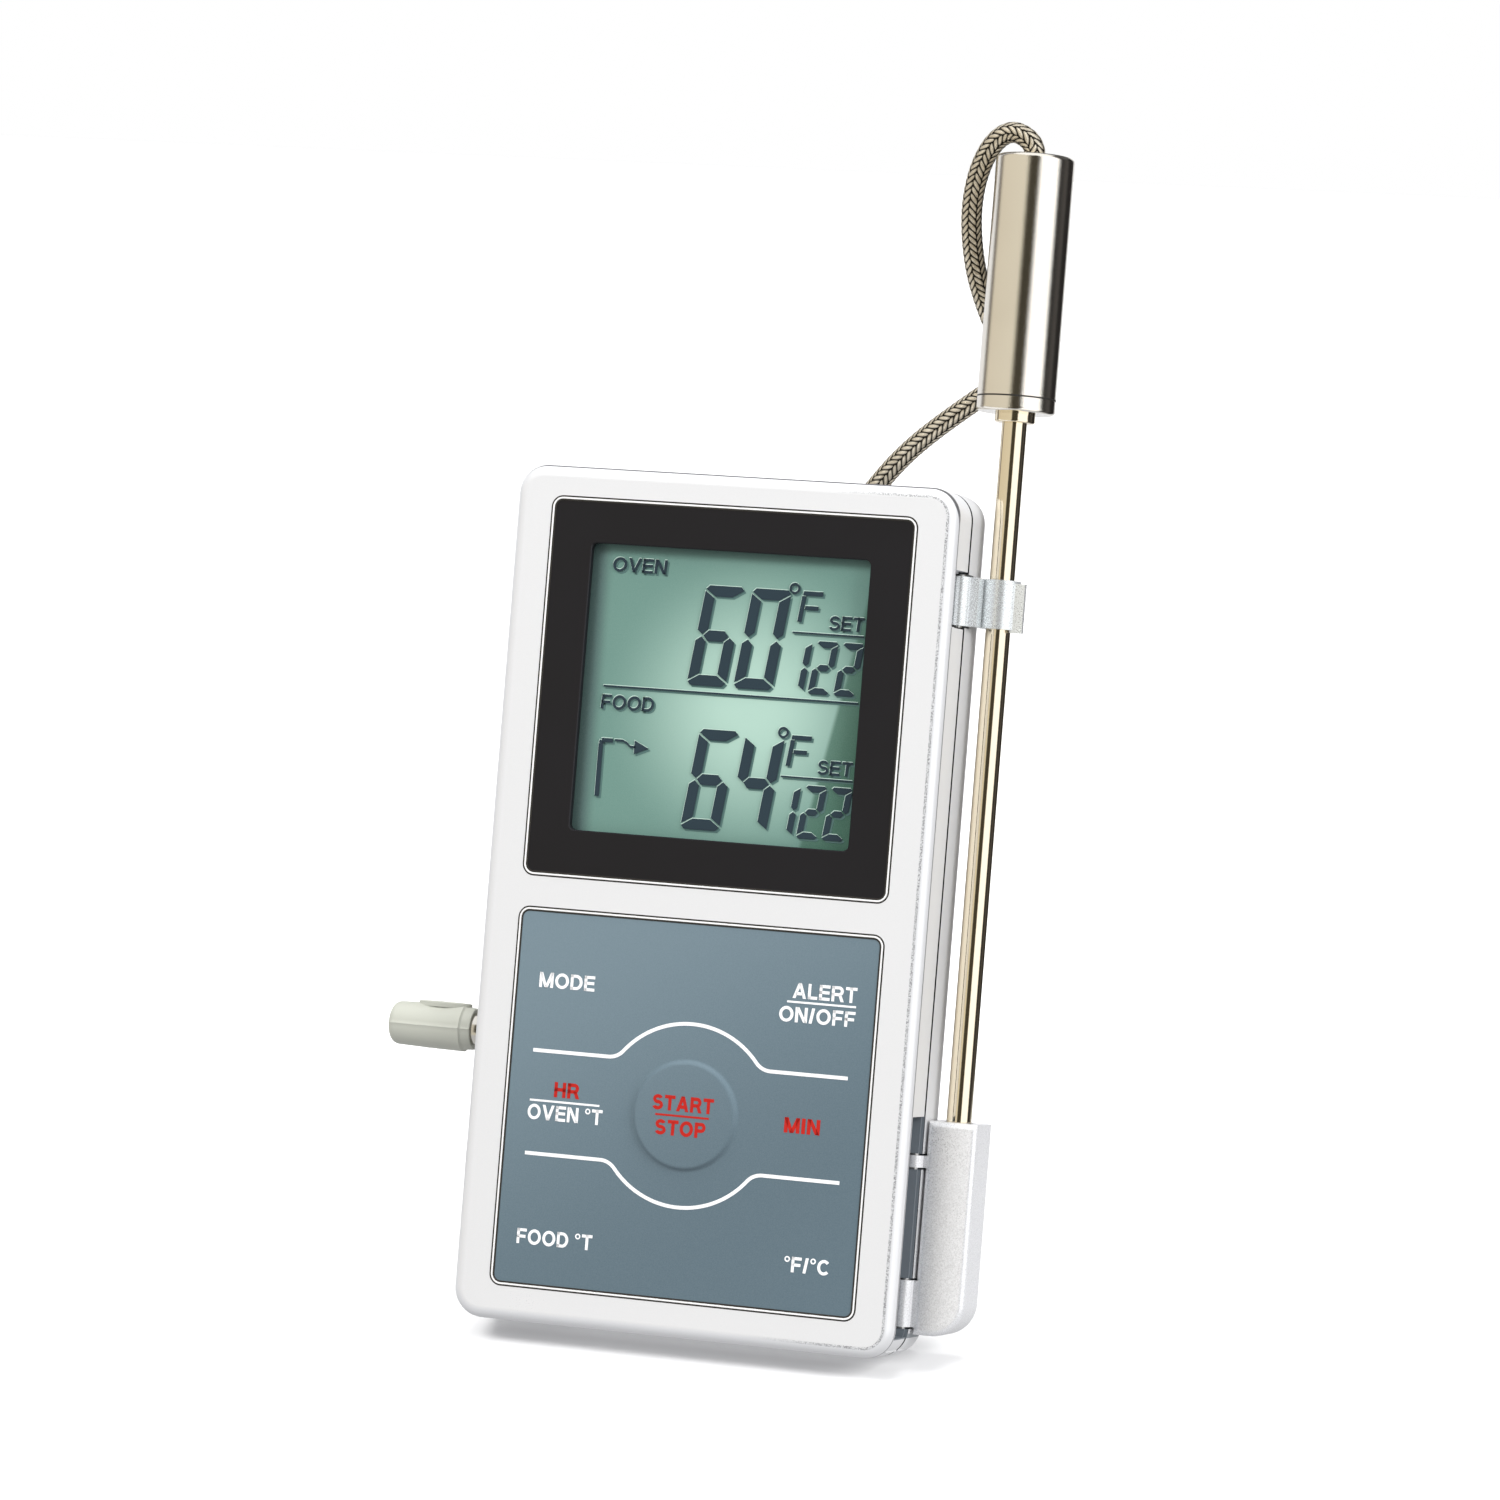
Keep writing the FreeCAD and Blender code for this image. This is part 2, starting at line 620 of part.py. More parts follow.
def make_keypad():
    film = make_plate("keypad_film", "plate_width", "film_height", "film_middle",
                      "plate_corner", "0.05", "film_thickness")
    # The middle key is embossed: a shallow dome stands out of the film.
    start_x, start_z = key_place("start_stop_key")
    dome = film.newObject("PartDesign::AdditiveCone", "start_dome")
    place(dome, (start_x, "0.05 - start_dome_height", start_z), FRONT_TO_BACK)
    bind(dome, Radius1="start_key_radius - 1.2", Radius2="start_key_radius + 0.2",
         Height="start_dome_height + 0.05")
    relief = film.newObject("PartDesign::SubtractiveCone", "start_dome_hollow")
    place(relief, (start_x, "0.5 - start_dome_height", start_z), FRONT_TO_BACK)
    bind(relief, Radius1="start_key_radius - 1.6", Radius2="start_key_radius - 0.2",
         Height="start_dome_height")
    sub_part("keypad_film", film)
    domes = []
    for name in KEYS:
        x, z = key_place(name)
        key = rod(name + "_disc", (x, "key_front", z), key_size(name), "key_thickness",
                  FRONT_TO_BACK)
        far = size("key_front") + size("key_thickness")
        sub_part(name, rounded(name + "_rounded", key, 0.3, flat_at(far)), name)
        domes.append(taper(name + "_dome", (x, "key_board_front - 0.45", z), "1.4",
                           key_size(name, "-1.4"), "0.45", FRONT_TO_BACK))
    sub_part("snap_domes", grouped("snap_domes_group", domes))


def make_power():
    cell = fused("cell", [
        rod("cell_can", ("0", "cell_depth", "cell_bottom"), "cell_radius", "cell_length"),
        rod("cell_nub", ("0", "cell_depth", "cell_bottom + cell_length"), "1.9", "1.2"),
    ])
    sub_part("battery", cell)
    spring_points = [
        Vector(SPRING_RADIUS * math.cos(step * math.pi / 4),
               size("cell_depth") + SPRING_RADIUS * math.sin(step * math.pi / 4),
               SPRING_BOTTOM + SPRING_PITCH * step / 8)
        for step in range(8 * SPRING_TURNS + 1)]
    sub_parts["battery_spring"] = (tube_along("battery_spring", spring_points, SPRING_WIRE),
                                   "case")
    plates = [block(name, ("-4.5", "cell_depth - 4.0", height), ("9.0", "8.0", "0.4"))
              for name, height in (("plate_low", "17.1"), ("plate_high", "65.9"))]
    sub_part("battery_contacts", grouped("contacts_group", plates))
    door = make_plate("battery_door", "door_width", "door_height", "door_middle", "1.2",
                      "case_depth - door_thickness", "door_thickness - 0.05")
    for number in range(4):
        body_block(door, f"grip_ridge{number}",
                   ("-4.0", "case_depth - 0.1", f"{56.0 + 1.8 * number}"), ("8.0", "0.35", "0.8"))
    sub_part("battery_door", door, "battery_door")
    magnets = [rod(f"magnet_{name}", (f"{side} * 20.0", "16.05", "106.0"), "6.0", "1.9",
                   FRONT_TO_BACK) for side, name in ((-1, "left"), (1, "right"))]
    sub_part("magnets", grouped("magnet_pair", magnets))


def make_screws():
    screws = []
    for number, (side, height) in enumerate(SCREWS):
        x = f"{side} * {SCREW_COLUMN}"
        head = rod(f"screw_head{number}", (x, "case_depth - 1.5", height), "1.9", "1.2",
                   FRONT_TO_BACK)
        shaft = rod(f"screw_shaft{number}", (x, "4.2", height), "1.05", "12.4", FRONT_TO_BACK)
        slots = [block(f"screw_slot_{turn}{number}", corner, extent) for turn, corner, extent in (
            ("a", (f"{x} - 1.2", "case_depth - 0.9", f"{height} - 0.25"), ("2.4", "1.0", "0.5")),
            ("b", (f"{x} - 0.25", "case_depth - 0.9", f"{height} - 1.2"), ("0.5", "1.0", "2.4")),
        )]
        screws.append(cut(f"screw{number}", fused(f"screw_blank{number}", [head, shaft]), slots))
    sub_part("case_screws", grouped("screws_group", screws))


def make_stand():
    inner = "stand_width - 2 * stand_bar"
    frame = block("stand_blank", ("-stand_width / 2", "15.9", "stand_foot_height"),
                  ("stand_width", "stand_thickness", "stand_axis_height - stand_foot_height"))
    gap = block("stand_gap", (f"-( {inner} ) / 2", "15.0", "stand_foot_height + stand_bar"),
                (inner, "4.0", "stand_axis_height - stand_foot_height - stand_bar - 2.0"))
    foot_height = size("stand_foot_height")
    frame = rounded("stand_foot_rounded", cut("stand_bars", frame, [gap]),
                    0.85, lambda box: box.ZMax < foot_height + 1e-4 and box.XLength > 20)
    axle = rod("stand_axle", ("-stand_width / 2", "stand_axis_depth", "stand_axis_height"),
               "knuckle_radius", "stand_width", LEFT_TO_RIGHT)
    bore = rod("stand_bore", ("-stand_width / 2 - 1", "stand_axis_depth", "stand_axis_height"),
               "hinge_pin_radius + 0.06", "stand_width + 2", LEFT_TO_RIGHT)
    sub_part("stand_leg", cut("stand_drilled", fused("stand_joined", [frame, axle]), [bore]),
             "stand")
    sub_part("stand_pin", rod("stand_pin_rod", ("-24.0", "stand_axis_depth",
                                                "stand_axis_height"),
                              "hinge_pin_radius", "48.0", LEFT_TO_RIGHT))


def make_pocket():
    body = document.addObject("PartDesign::Body", "probe_pocket_body")
    outline = front_sketch(body, "pocket_outline", "pocket_front")
    left = size("pocket_left")
    width = size("pocket_width")
    bottom = size("pocket_bottom")
    height = size("pocket_height")
    corner = size("pocket_corner")
    right = left + width
    top = bottom + height
    circle = Part.Circle(Vector(right - corner, bottom + corner, 0), Vector(0, 0, 1), corner)
    arc = Part.ArcOfCircle(circle, 1.5 * math.pi, 2 * math.pi)
    points = [arc.EndPoint, Vector(right, top, 0), Vector(left, top, 0),
              Vector(left, bottom, 0), arc.StartPoint]
    outline.addGeometry(arc, False)
    for start, end in zip(points, points[1:]):
        outline.addGeometry(Part.LineSegment(start, end), False)
    for first in range(1, 4):
        outline.addConstraint(Sketcher.Constraint("Coincident", first, 2, first + 1, 1))
    outline.addConstraint(Sketcher.Constraint("Tangent", 0, 2, 1, 1))
    outline.addConstraint(Sketcher.Constraint("Tangent", 4, 2, 0, 1))
    outline.addConstraint(Sketcher.Constraint("Vertical", 1))
    outline.addConstraint(Sketcher.Constraint("Horizontal", 2))
    outline.addConstraint(Sketcher.Constraint("Vertical", 3))
    driving = [
        (Sketcher.Constraint("Radius", 0, corner), "pocket_corner"),
        (Sketcher.Constraint("DistanceX", -1, 1, 3, 1, left), "pocket_left"),
        (Sketcher.Constraint("DistanceX", 3, 1, 1, 2, width), "pocket_width"),
        (Sketcher.Constraint("DistanceY", -1, 1, 3, 2, bottom), "pocket_bottom"),
        (Sketcher.Constraint("DistanceY", 3, 2, 3, 1, height), "pocket_height"),
    ]
    for constraint, expression in driving:
        index = outline.addConstraint(constraint)
        outline.setExpression(f"Constraints[{index}]", in_cells(expression))
    box = pad(body, "pocket_block", outline, "pocket_depth")
    front = size("pocket_front")
    body_fillet(body, "pocket_edges", box, "0.9",
                lambda edge: flat_at(front)(edge) or flat_at(front + size("pocket_depth"))(edge))
    for number, (low, length) in enumerate(POCKET_KNUCKLES):
        body_rod(body, f"pocket_knuckle{number}", ("hinge_x", "hinge_y", low),
                 "knuckle_radius", length, UPWARDS)
        body_block(body, f"pocket_lug{number}", ("hinge_x", "hinge_y - 0.1", low),
                   ("pocket_left - hinge_x + 0.4", "1.3", length))
    body_rod(body, "pocket_pin_hole", ("hinge_x", "hinge_y", "2.0"),
             "hinge_pin_radius + 0.06", "32.0", UPWARDS, "Subtractive")
    body_rod(body, "stem_hole", ("probe_x", "probe_y", "stem_bottom - 0.4"),
             "stem_radius + 0.3", "pocket_height", UPWARDS, "Subtractive")
    sub_part("probe_pocket", body, "probe_pocket")
    sub_part("pocket_pin", rod("pocket_pin_rod", ("hinge_x", "hinge_y", "2.6"),
                               "hinge_pin_radius", "30.4"))


def make_clip():
    low, length = CLIP_KNUCKLE
    grip = rod("clip_ring", ("probe_x", "probe_y", low), "stem_radius + 1.0", length)
    arm = block("clip_arm", ("hinge_x", "hinge_y - 0.7", low), ("2.7", "1.4", length))
    web = block("clip_web", ("35.45", "hinge_y - 0.7", low), ("1.2", "4.9", length))
    lip = block("clip_lip", ("40.95", "probe_y - 1.4", f"{low} - 0.4"), ("1.9", "0.9", length))
    knuckle = rod("clip_knuckle", ("hinge_x", "hinge_y", low), "knuckle_radius + 0.5", length)
    bore = rod("clip_bore", ("probe_x", "probe_y", f"{low} - 1"), "stem_radius + 0.08",
               f"{length} + 2")
    mouth = block("clip_mouth", ("probe_x - 1.65", "probe_y", f"{low} - 1"),
                  ("3.3", "4.0", f"{length} + 2"))
    behind = block("clip_back", ("probe_x - 4.0", "probe_y + 1.7", f"{low} - 1"),
                   ("8.0", "4.0", f"{length} + 2"))
    drilling = rod("clip_pin_bore", ("hinge_x", "hinge_y", f"{low} - 1"),
                   "hinge_pin_radius + 0.06", f"{length} + 2")
    solid = fused("clip_solid", [grip, arm, web, lip, knuckle])
    sub_part("probe_clip", cut("clip_open", solid, [bore, mouth, behind, drilling]),
             "probe_clip")
    sub_part("clip_pin", rod("clip_pin_rod", ("hinge_x", "hinge_y", "108.0"),
                             "hinge_pin_radius", "11.4"))


def on_probe(height):
    """A point on the probe's own axis."""
    return "probe_x", "probe_y", height


def make_probe():
    point_top = "stem_bottom + stem_point"
    stem = fused("stem_solid", [
        taper("stem_point_cone", on_probe("stem_bottom"), "0.25", "stem_radius", "stem_point"),
        rod("stem_tube", on_probe(point_top), "stem_radius",
            f"handle_bottom + 0.8 - ( {point_top} )"),
    ])
    bore = rod("stem_hollow", on_probe(point_top), "stem_bore", "handle_bottom")
    sub_part("probe_stem", cut("stem", stem, [bore]), "probe")
    sub_part("food_sensor", rod("food_bead", on_probe(f"{point_top} + 0.2"), "1.2", "4.5"),
             "probe")
    collar = rod("collar_disc", on_probe("collar_bottom"), "collar_radius",
                 "handle_bottom - collar_bottom")
    collar = rounded("collar_rounded", collar, 0.4,
                     lambda box: box.ZMax < size("collar_bottom") + 1e-4)
    through = rod("collar_hole", on_probe("collar_bottom - 1"), "stem_radius", "4.0")
    sub_part("probe_collar", cut("collar", collar, [through]), "probe")
    base = rod("base_disc", on_probe("handle_bottom"), "handle_radius",
               "handle_seam - handle_bottom")
    base = rounded("base_rounded", base, 0.6,
                   lambda box: box.ZMax < size("handle_bottom") + 1e-4)
    spigot = rod("base_spigot", on_probe("handle_seam - 0.5"),
                 "handle_radius - handle_wall - 0.02", "2.5")
    seat = rod("base_hole", on_probe("handle_bottom - 1"), "stem_radius", "1.8")
    leads = rod("base_lead_hole", on_probe("handle_bottom"), "stem_bore", "6.0")
    sub_part("handle_base", cut("base", fused("base_solid", [base, spigot]), [seat, leads]),
             "probe")
    tube = rod("handle_blank", on_probe("handle_seam + 0.15"), "handle_radius",
               "handle_top - handle_seam - 0.15")
    tube = rounded("handle_rounded", tube, 0.7,
                   lambda box: box.ZMin > size("handle_top") - 1e-4)
    hollow = rod("handle_hollow", on_probe("handle_seam"), "handle_radius - handle_wall",
                 "handle_top - handle_seam - 1.0")
    mouth = rod("handle_mouth", on_probe("handle_top - 3"), "2.6", "5.0")
    sub_part("handle_tube", cut("handle", tube, [hollow, mouth]), "probe")
    sub_part("oven_sensor", rod("oven_bead", ("probe_x + 3.4", "probe_y", "164.0"), "1.2",
                                "4.5"), "probe")
    filler = rod("filler_plug", on_probe("148.5"), "handle_radius - handle_wall - 0.1", "10.0")
    lead_way = rod("filler_hole", on_probe("148.0"), "stem_bore", "12.0")
    sub_part("handle_insulator", cut("filler", filler, [lead_way]), "probe")
    bush = fused("bush_solid", [
        rod("bush_flange", on_probe("handle_top - 3.0"), "3.6", "1.9"),
        rod("bush_neck", on_probe("handle_top - 1.2"), "2.5", "1.5"),
    ])
    cable_way = rod("bush_hole", on_probe("handle_top - 4"), "cable_radius + 0.05", "6.0")
    sub_part("cable_bush", cut("bush", bush, [cable_way]), "probe")


def make_jack_and_plug():
    socket = block("jack_box", ("-33.1", "jack_y - 3.2", "jack_z - 3.2"), ("12.6", "6.4", "6.4"))
    nose = rod("jack_nose", ("-35.0", "jack_y", "jack_z"), "2.5", "2.0", LEFT_TO_RIGHT)
    way = rod("jack_bore", ("-36.0", "jack_y", "jack_z"), "plug_pin_radius + 0.08", "15.2",
              LEFT_TO_RIGHT)
    sub_part("jack_socket", cut("jack", fused("jack_solid", [socket, nose]), [way]))
    # Contact pin of the plug: sleeve, ring and tip, parted by two insulating rings.
    sleeve = rod("pin_sleeve", ("-37.4", "jack_y", "jack_z"), "plug_pin_radius", "8.0",
                 LEFT_TO_RIGHT)
    ring = rod("pin_ring", ("-28.9", "jack_y", "jack_z"), "plug_pin_radius", "2.0",
               LEFT_TO_RIGHT)
    tip = fused("pin_tip", [
        rod("pin_tip_barrel", ("-26.4", "jack_y", "jack_z"), "plug_pin_radius", "1.8",
            LEFT_TO_RIGHT),
        taper("pin_tip_cone", ("-24.6", "jack_y", "jack_z"), "plug_pin_radius", "0.5", "1.6",
              LEFT_TO_RIGHT),
    ])
    sub_part("plug_contacts", grouped("contacts_of_plug", [sleeve, ring, tip]), "plug")
    insulators = [rod(f"pin_gap{number}", (start, "jack_y", "jack_z"),
                      "plug_pin_radius - 0.05", "0.5", LEFT_TO_RIGHT)
                  for number, start in enumerate(("-29.4", "-26.9"))]
    sub_part("plug_insulators", grouped("insulators_of_plug", insulators), "plug")
    barrel = rod("plug_barrel", ("-51.4", "jack_y", "jack_z"), "plug_radius", "12.6",
                 LEFT_TO_RIGHT)
    barrel = rounded("plug_barrel_rounded", barrel, 1.8, lambda box: box.XMax < -51.3)
    neck = rod("plug_neck", ("-38.9", "jack_y", "jack_z"), "plug_radius - 0.6", "2.1",
               LEFT_TO_RIGHT)
    boot = taper("plug_boot", ("plug_x", "jack_y", "jack_z"), "plug_radius - 0.3",
                 "cable_radius + 0.5", "boot_length + 3.0", FRONT_TO_BACK)
    seat = rod("plug_pin_seat", ("-37.4", "jack_y", "jack_z"), "plug_pin_radius", "1.0",
               LEFT_TO_RIGHT)
    moulding = fused("plug_solid", [barrel, neck, boot])
    sub_part("plug_body", cut("plug", moulding, [seat]), "plug")


# The cable, in the standing frame: a lead from the plug down to a coil that lies behind the
# case, a rise from the coil, and a loop over the handle. Each list holds a route's corners.

LEAD_ROUTE = [
    (-50.3, 0.9, 37.7),
    (-50.5, 6.6, 35.8),
    (-51.4, 13.4, 30.6),
    (-53.2, 19.0, 22.6),
    (-55.4, 23.4, 13.4),
    (-57.0, 28.6, 5.6),
    (-57.3, 34.6, 2.6),
]
RISE_ROUTE = [
    (-40.0, 55.7, 8.5),
    (-33.0, 55.9, 8.6),
    (-22.0, 55.2, 11.5),
    (-12.0, 52.8, 21.5),
    (-5.6, 48.4, 39.0),
    (-2.4, 42.2, 60.0),
    (-1.0, 35.4, 82.0),
    (0.6, 29.6, 102.0),
    (5.2, 27.2, 116.4),
    (12.2, 28.6, 125.6),
    (19.4, 30.4, 131.8),
    (25.2, 31.9, 135.7),
]
LOOP_ROUTE = [
    (25.7, 32.1, 136.3),
    (27.6, 32.9, 138.9),
    (27.2, 33.1, 144.4),
    (25.0, 32.4, 149.6),
    (23.4, 31.4, 156.0),
    (22.9, 31.2, 164.0),
    (24.0, 32.0, 170.6),
    (26.4, 32.7, 175.4),
    (29.6, 32.7, 177.6),
    (32.6, 32.0, 176.6),
    (33.9, 31.9, 174.3),
    (33.92, 30.97, 171.53),
]
COIL_CENTRE = Vector(-38.0, 36.5, 0.5)
COIL_MIDDLE_RADIUS = 17.6
COIL_COLUMNS = 2
COIL_LAYERS = 3
TIE_ANGLE = -60.0
TIE_WIDTH = 4.0
TIE_STRAP = 0.3
TIE_PLAY = 0.2


def make_tube(label, route, body):
    """A piece of cable along a route of the standing frame."""
    points = [Vector(*point) for point in route]
    sub_parts[label] = (tube_along(label, points, size("cable_radius")), body)


def make_cable():
    """The cable's solids and the tie round its coil, made where they lie."""
    make_tube("cable_lead", LEAD_ROUTE, "case")
    make_tube("cable_rise", RISE_ROUTE, "case")
    make_tube("cable_loop", LOOP_ROUTE, "probe")
    half_band = COIL_COLUMNS * size("cable_radius")
    height = 2 * COIL_LAYERS * size("cable_radius")
    outside = Part.makeCylinder(COIL_MIDDLE_RADIUS + half_band, height, COIL_CENTRE)
    inside = Part.makeCylinder(COIL_MIDDLE_RADIUS - half_band, height, COIL_CENTRE)
    coil = document.addObject("Part::Feature", "cable_coil")
    coil.Shape = outside.cut(inside)
    sub_parts["cable_coil"] = (coil, "case")

    inner = (2 * half_band + 2 * TIE_PLAY, TIE_WIDTH, height + 2 * TIE_PLAY)
    outer = (inner[0] + 2 * TIE_STRAP, TIE_WIDTH, inner[2] + 2 * TIE_STRAP)
    outer_corner = Vector(-outer[0] / 2, -TIE_WIDTH / 2, -TIE_PLAY - TIE_STRAP)
    inner_corner = Vector(-inner[0] / 2, -TIE_WIDTH / 2, -TIE_PLAY)
    strap_blank = Part.makeBox(*outer, outer_corner)
    strap_room = Part.makeBox(*inner, inner_corner)
    tie = document.addObject("Part::Feature", "cable_tie")
    tie.Shape = strap_blank.cut(strap_room)
    turned = Rotation(Vector(0, 0, 1), TIE_ANGLE)
    reach = turned.multVec(Vector(COIL_MIDDLE_RADIUS, 0, 0))
    tie.Placement = Placement(COIL_CENTRE + reach, turned)
    sub_parts["cable_tie"] = (tie, "case")


def lowest_point():
    """How far the leaning case would reach below its own origin."""
    lean = math.radians(size("lean"))
    rounding = size("rear_rounding")
    return (rounding * math.cos(lean) - (size("case_depth") - rounding) * math.sin(lean)
            - rounding)


def standing_pose():
    """Lean the upright case back and set it on the surface."""
    tilt = Rotation(Vector(1, 0, 0), -size("lean"))
    return Placement(Vector(-size("origin_x"), -size("origin_y"), -lowest_point()), tilt)


def stand_opening():
    """The angle that the stand opens to, so that its foot meets the surface."""
    lean = math.radians(size("lean"))
    half = size("stand_thickness") / 2
    across = 15.9 + half - size("stand_axis_depth")
    down = size("stand_axis_height") - size("stand_foot_height") - half
    axis_height = (size("stand_axis_height") * math.cos(lean)
                   - size("stand_axis_depth") * math.sin(lean) - lowest_point())
    reach = math.hypot(down, across)
    return lean + math.acos((axis_height - half) / reach) - math.atan2(across, down)


def opened_stand():
    """The stand swung out about its own axis, before the case leans back."""
    axis = Vector(0, size("stand_axis_depth"), size("stand_axis_height"))
    return Placement(Vector(), Rotation(Vector(1, 0, 0), math.degrees(stand_opening())), axis)


make_front_shell()
make_rear_shell()
make_display()
make_boards()
make_keypad()
make_power()
make_screws()
make_stand()
make_pocket()
make_clip()
make_probe()
make_jack_and_plug()
document.recompute()

pose = standing_pose()
for piece, moving_body in sub_parts.values():
    piece.Placement = pose.multiply(opened_stand()) if moving_body == "stand" else pose
make_cable()
document.recompute()

failed = [item.Name for item in document.Objects
          if "Invalid" in item.State or "Error" in item.State]
if failed:
    raise RuntimeError(f"failed features: {failed}")
os.makedirs("parts", exist_ok=True)
whole = FreeCAD.BoundBox()
for label, (piece, moving_body) in sub_parts.items():
    shape = piece.Shape
    if shape.isNull() or not shape.isValid() or not shape.Solids:
        raise RuntimeError(f"{label} has no valid solid")
    shape.exportStep(f"parts/{label}.step")
    if not label.startswith(("cable_", "plug_")) or label == "cable_bush":
        whole.add(shape.optimalBoundingBox())
    print(f"{label:18s} {moving_body:14s} solids {len(shape.Solids)} volume {shape.Volume:9.1f}")
print("Box without the cable and its plug:", whole)
for name, local in HINGE_POINTS.items():
    print(name, pose.multVec(Vector(*(evaluate(text) for text in local))))
print(f"The stand opens to {math.degrees(stand_opening()):.3f} degrees")
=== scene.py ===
import math
import random

import bpy
from mathutils import Matrix, Vector


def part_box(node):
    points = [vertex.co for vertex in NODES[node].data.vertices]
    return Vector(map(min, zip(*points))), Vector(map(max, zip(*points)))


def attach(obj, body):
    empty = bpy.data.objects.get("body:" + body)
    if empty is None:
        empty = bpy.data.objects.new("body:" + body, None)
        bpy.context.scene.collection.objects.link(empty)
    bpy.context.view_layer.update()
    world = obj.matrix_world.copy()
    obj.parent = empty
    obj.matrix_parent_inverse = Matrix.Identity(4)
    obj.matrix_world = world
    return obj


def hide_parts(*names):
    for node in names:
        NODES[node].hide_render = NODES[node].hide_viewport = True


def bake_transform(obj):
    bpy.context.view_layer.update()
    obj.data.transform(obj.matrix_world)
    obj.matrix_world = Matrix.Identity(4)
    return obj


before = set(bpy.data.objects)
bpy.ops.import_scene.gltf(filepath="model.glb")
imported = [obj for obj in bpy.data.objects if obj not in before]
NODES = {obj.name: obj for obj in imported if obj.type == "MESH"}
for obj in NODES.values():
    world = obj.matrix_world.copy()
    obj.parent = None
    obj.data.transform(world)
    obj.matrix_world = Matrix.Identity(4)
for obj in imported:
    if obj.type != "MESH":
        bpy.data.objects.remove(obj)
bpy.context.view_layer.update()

# Lengths are in millimetres in the case's own upright frame: x right, y from the front face
# backwards, z up. CASE turns them into the part's frame, in which the case leans back. The
# cable and its tie are given in the part's frame itself.
MM = 0.001
LEAN = math.radians(18.0)
CASE = Matrix.Translation(Vector((-4.88, -37.53, 4.7303)) * MM) @ Matrix.Rotation(-LEAN, 4, "X")
PART = Matrix.Identity(4)
TURN = 2.0 * math.pi
UNIT = (1.0, 1.0, 1.0)
SHARP = 35.0
CABLE_RADIUS = 1.6
BRAID_COLUMNS = 8
BRAID_PITCH = 1.05
BRAID_SLOPE = 1.15
BRAID_DEPTH = 0.15
DICE = random.Random(7)


# ---- camera

camera_data = bpy.data.cameras.new("camera")
camera_data.lens = 144.0
camera_data.sensor_width = 36.0
camera_data.clip_start = 0.05
camera_data.clip_end = 20.0
camera = bpy.data.objects.new("camera", camera_data)
camera.location = (0.281232, -0.828564, 0.337564)
camera.rotation_euler = [math.radians(turn) for turn in (73.9865, 1.0963, 18.6020)]
bpy.context.scene.collection.objects.link(camera)
bpy.context.scene.camera = camera


# ---- mesh helpers


def make_piece(name, solid, body, look, place=CASE, smooth=True, sharp=None):
    """Show points and faces as a piece on a body; body None leaves it free."""
    points, faces = solid
    mesh = bpy.data.meshes.new(name)
    mesh.from_pydata([Vector(point) * MM for point in points], [], faces)
    mesh.validate()
    mesh.shade_smooth() if smooth else mesh.shade_flat()
    made = bpy.data.objects.new(name, mesh)
    bpy.context.scene.collection.objects.link(made)
    made.matrix_world = place
    mesh.materials.append(MATERIALS[look])
    if body:
        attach(made, body)
    if sharp:
        mesh.set_sharp_from_angle(angle=math.radians(sharp))
    return made


def rounded_outline(x0, x1, z0, z1, radius, steps=8):
    """Points of a rounded rectangle in the x-z plane, anticlockwise seen from the front."""
    points = []
    corners = [(x1 - radius, z0 + radius, -90), (x1 - radius, z1 - radius, 0),
               (x0 + radius, z1 - radius, 90), (x0 + radius, z0 + radius, 180)]
    for x, z, start in corners:
        for step in range(steps + 1):
            angle = math.radians(start + 90.0 * step / steps)
            points.append((x + radius * math.cos(angle), z + radius * math.sin(angle)))
    return points


def stacked_rings(rings, closed=True):
    """Points and faces that join rings of equally many points, with both ends closed."""
    points = [point for ring in rings for point in ring]
    count = len(rings[0])
    faces = []
    for layer in range(len(rings) - 1):
        first = layer * count
        for index in range(count):
            following = (index + 1) % count
            faces.append((first + index, first + following,
                          first + count + following, first + count + index))
    if closed:
        last = (len(rings) - 1) * count
        faces += [tuple(reversed(range(count))), tuple(range(last, last + count))]
    return points, faces


def frame_ring(outer, inner, front, back, edge):
    """A flat frame between two outlines, with its front edges broken by a small bevel."""
    rings = [[(x, y, z) for x, z in outline] for outline, y in (
        (outer, back), (outer, front + edge), (inset(outer, edge), front),
        (inset(inner, -edge), front), (inner, front + edge), (inner, back))]
    points, faces = stacked_rings(rings, False)
    count = len(outer)
    last = (len(rings) - 1) * count
    for index in range(count):
        following = (index + 1) % count
        faces.append((last + index, last + following, following, index))
    return points, faces


def inset(outline, amount):
    """Move an outline's points inwards by the amount, towards its middle on each side."""
    moved = []
    for values in zip(*outline):
        middle = (min(values) + max(values)) / 2
        half = (max(values) - min(values)) / 2
        moved.append([middle + (value - middle) * (half - amount) / half for value in values])
    return list(zip(*moved))


def joined(parts):
    """Points and faces of several parts put together."""
    points = []
    faces = []
    for part_points, part_faces in parts:
        first = len(points)
        points += part_points
        faces += [tuple(first + index for index in face) for face in part_faces]
    return points, faces


def smooth_step(low, high, value):
    share = min(1.0, max(0.0, (value - low) / (high - low)))
    return share * share * (3.0 - 2.0 * share)


# ---- material helpers


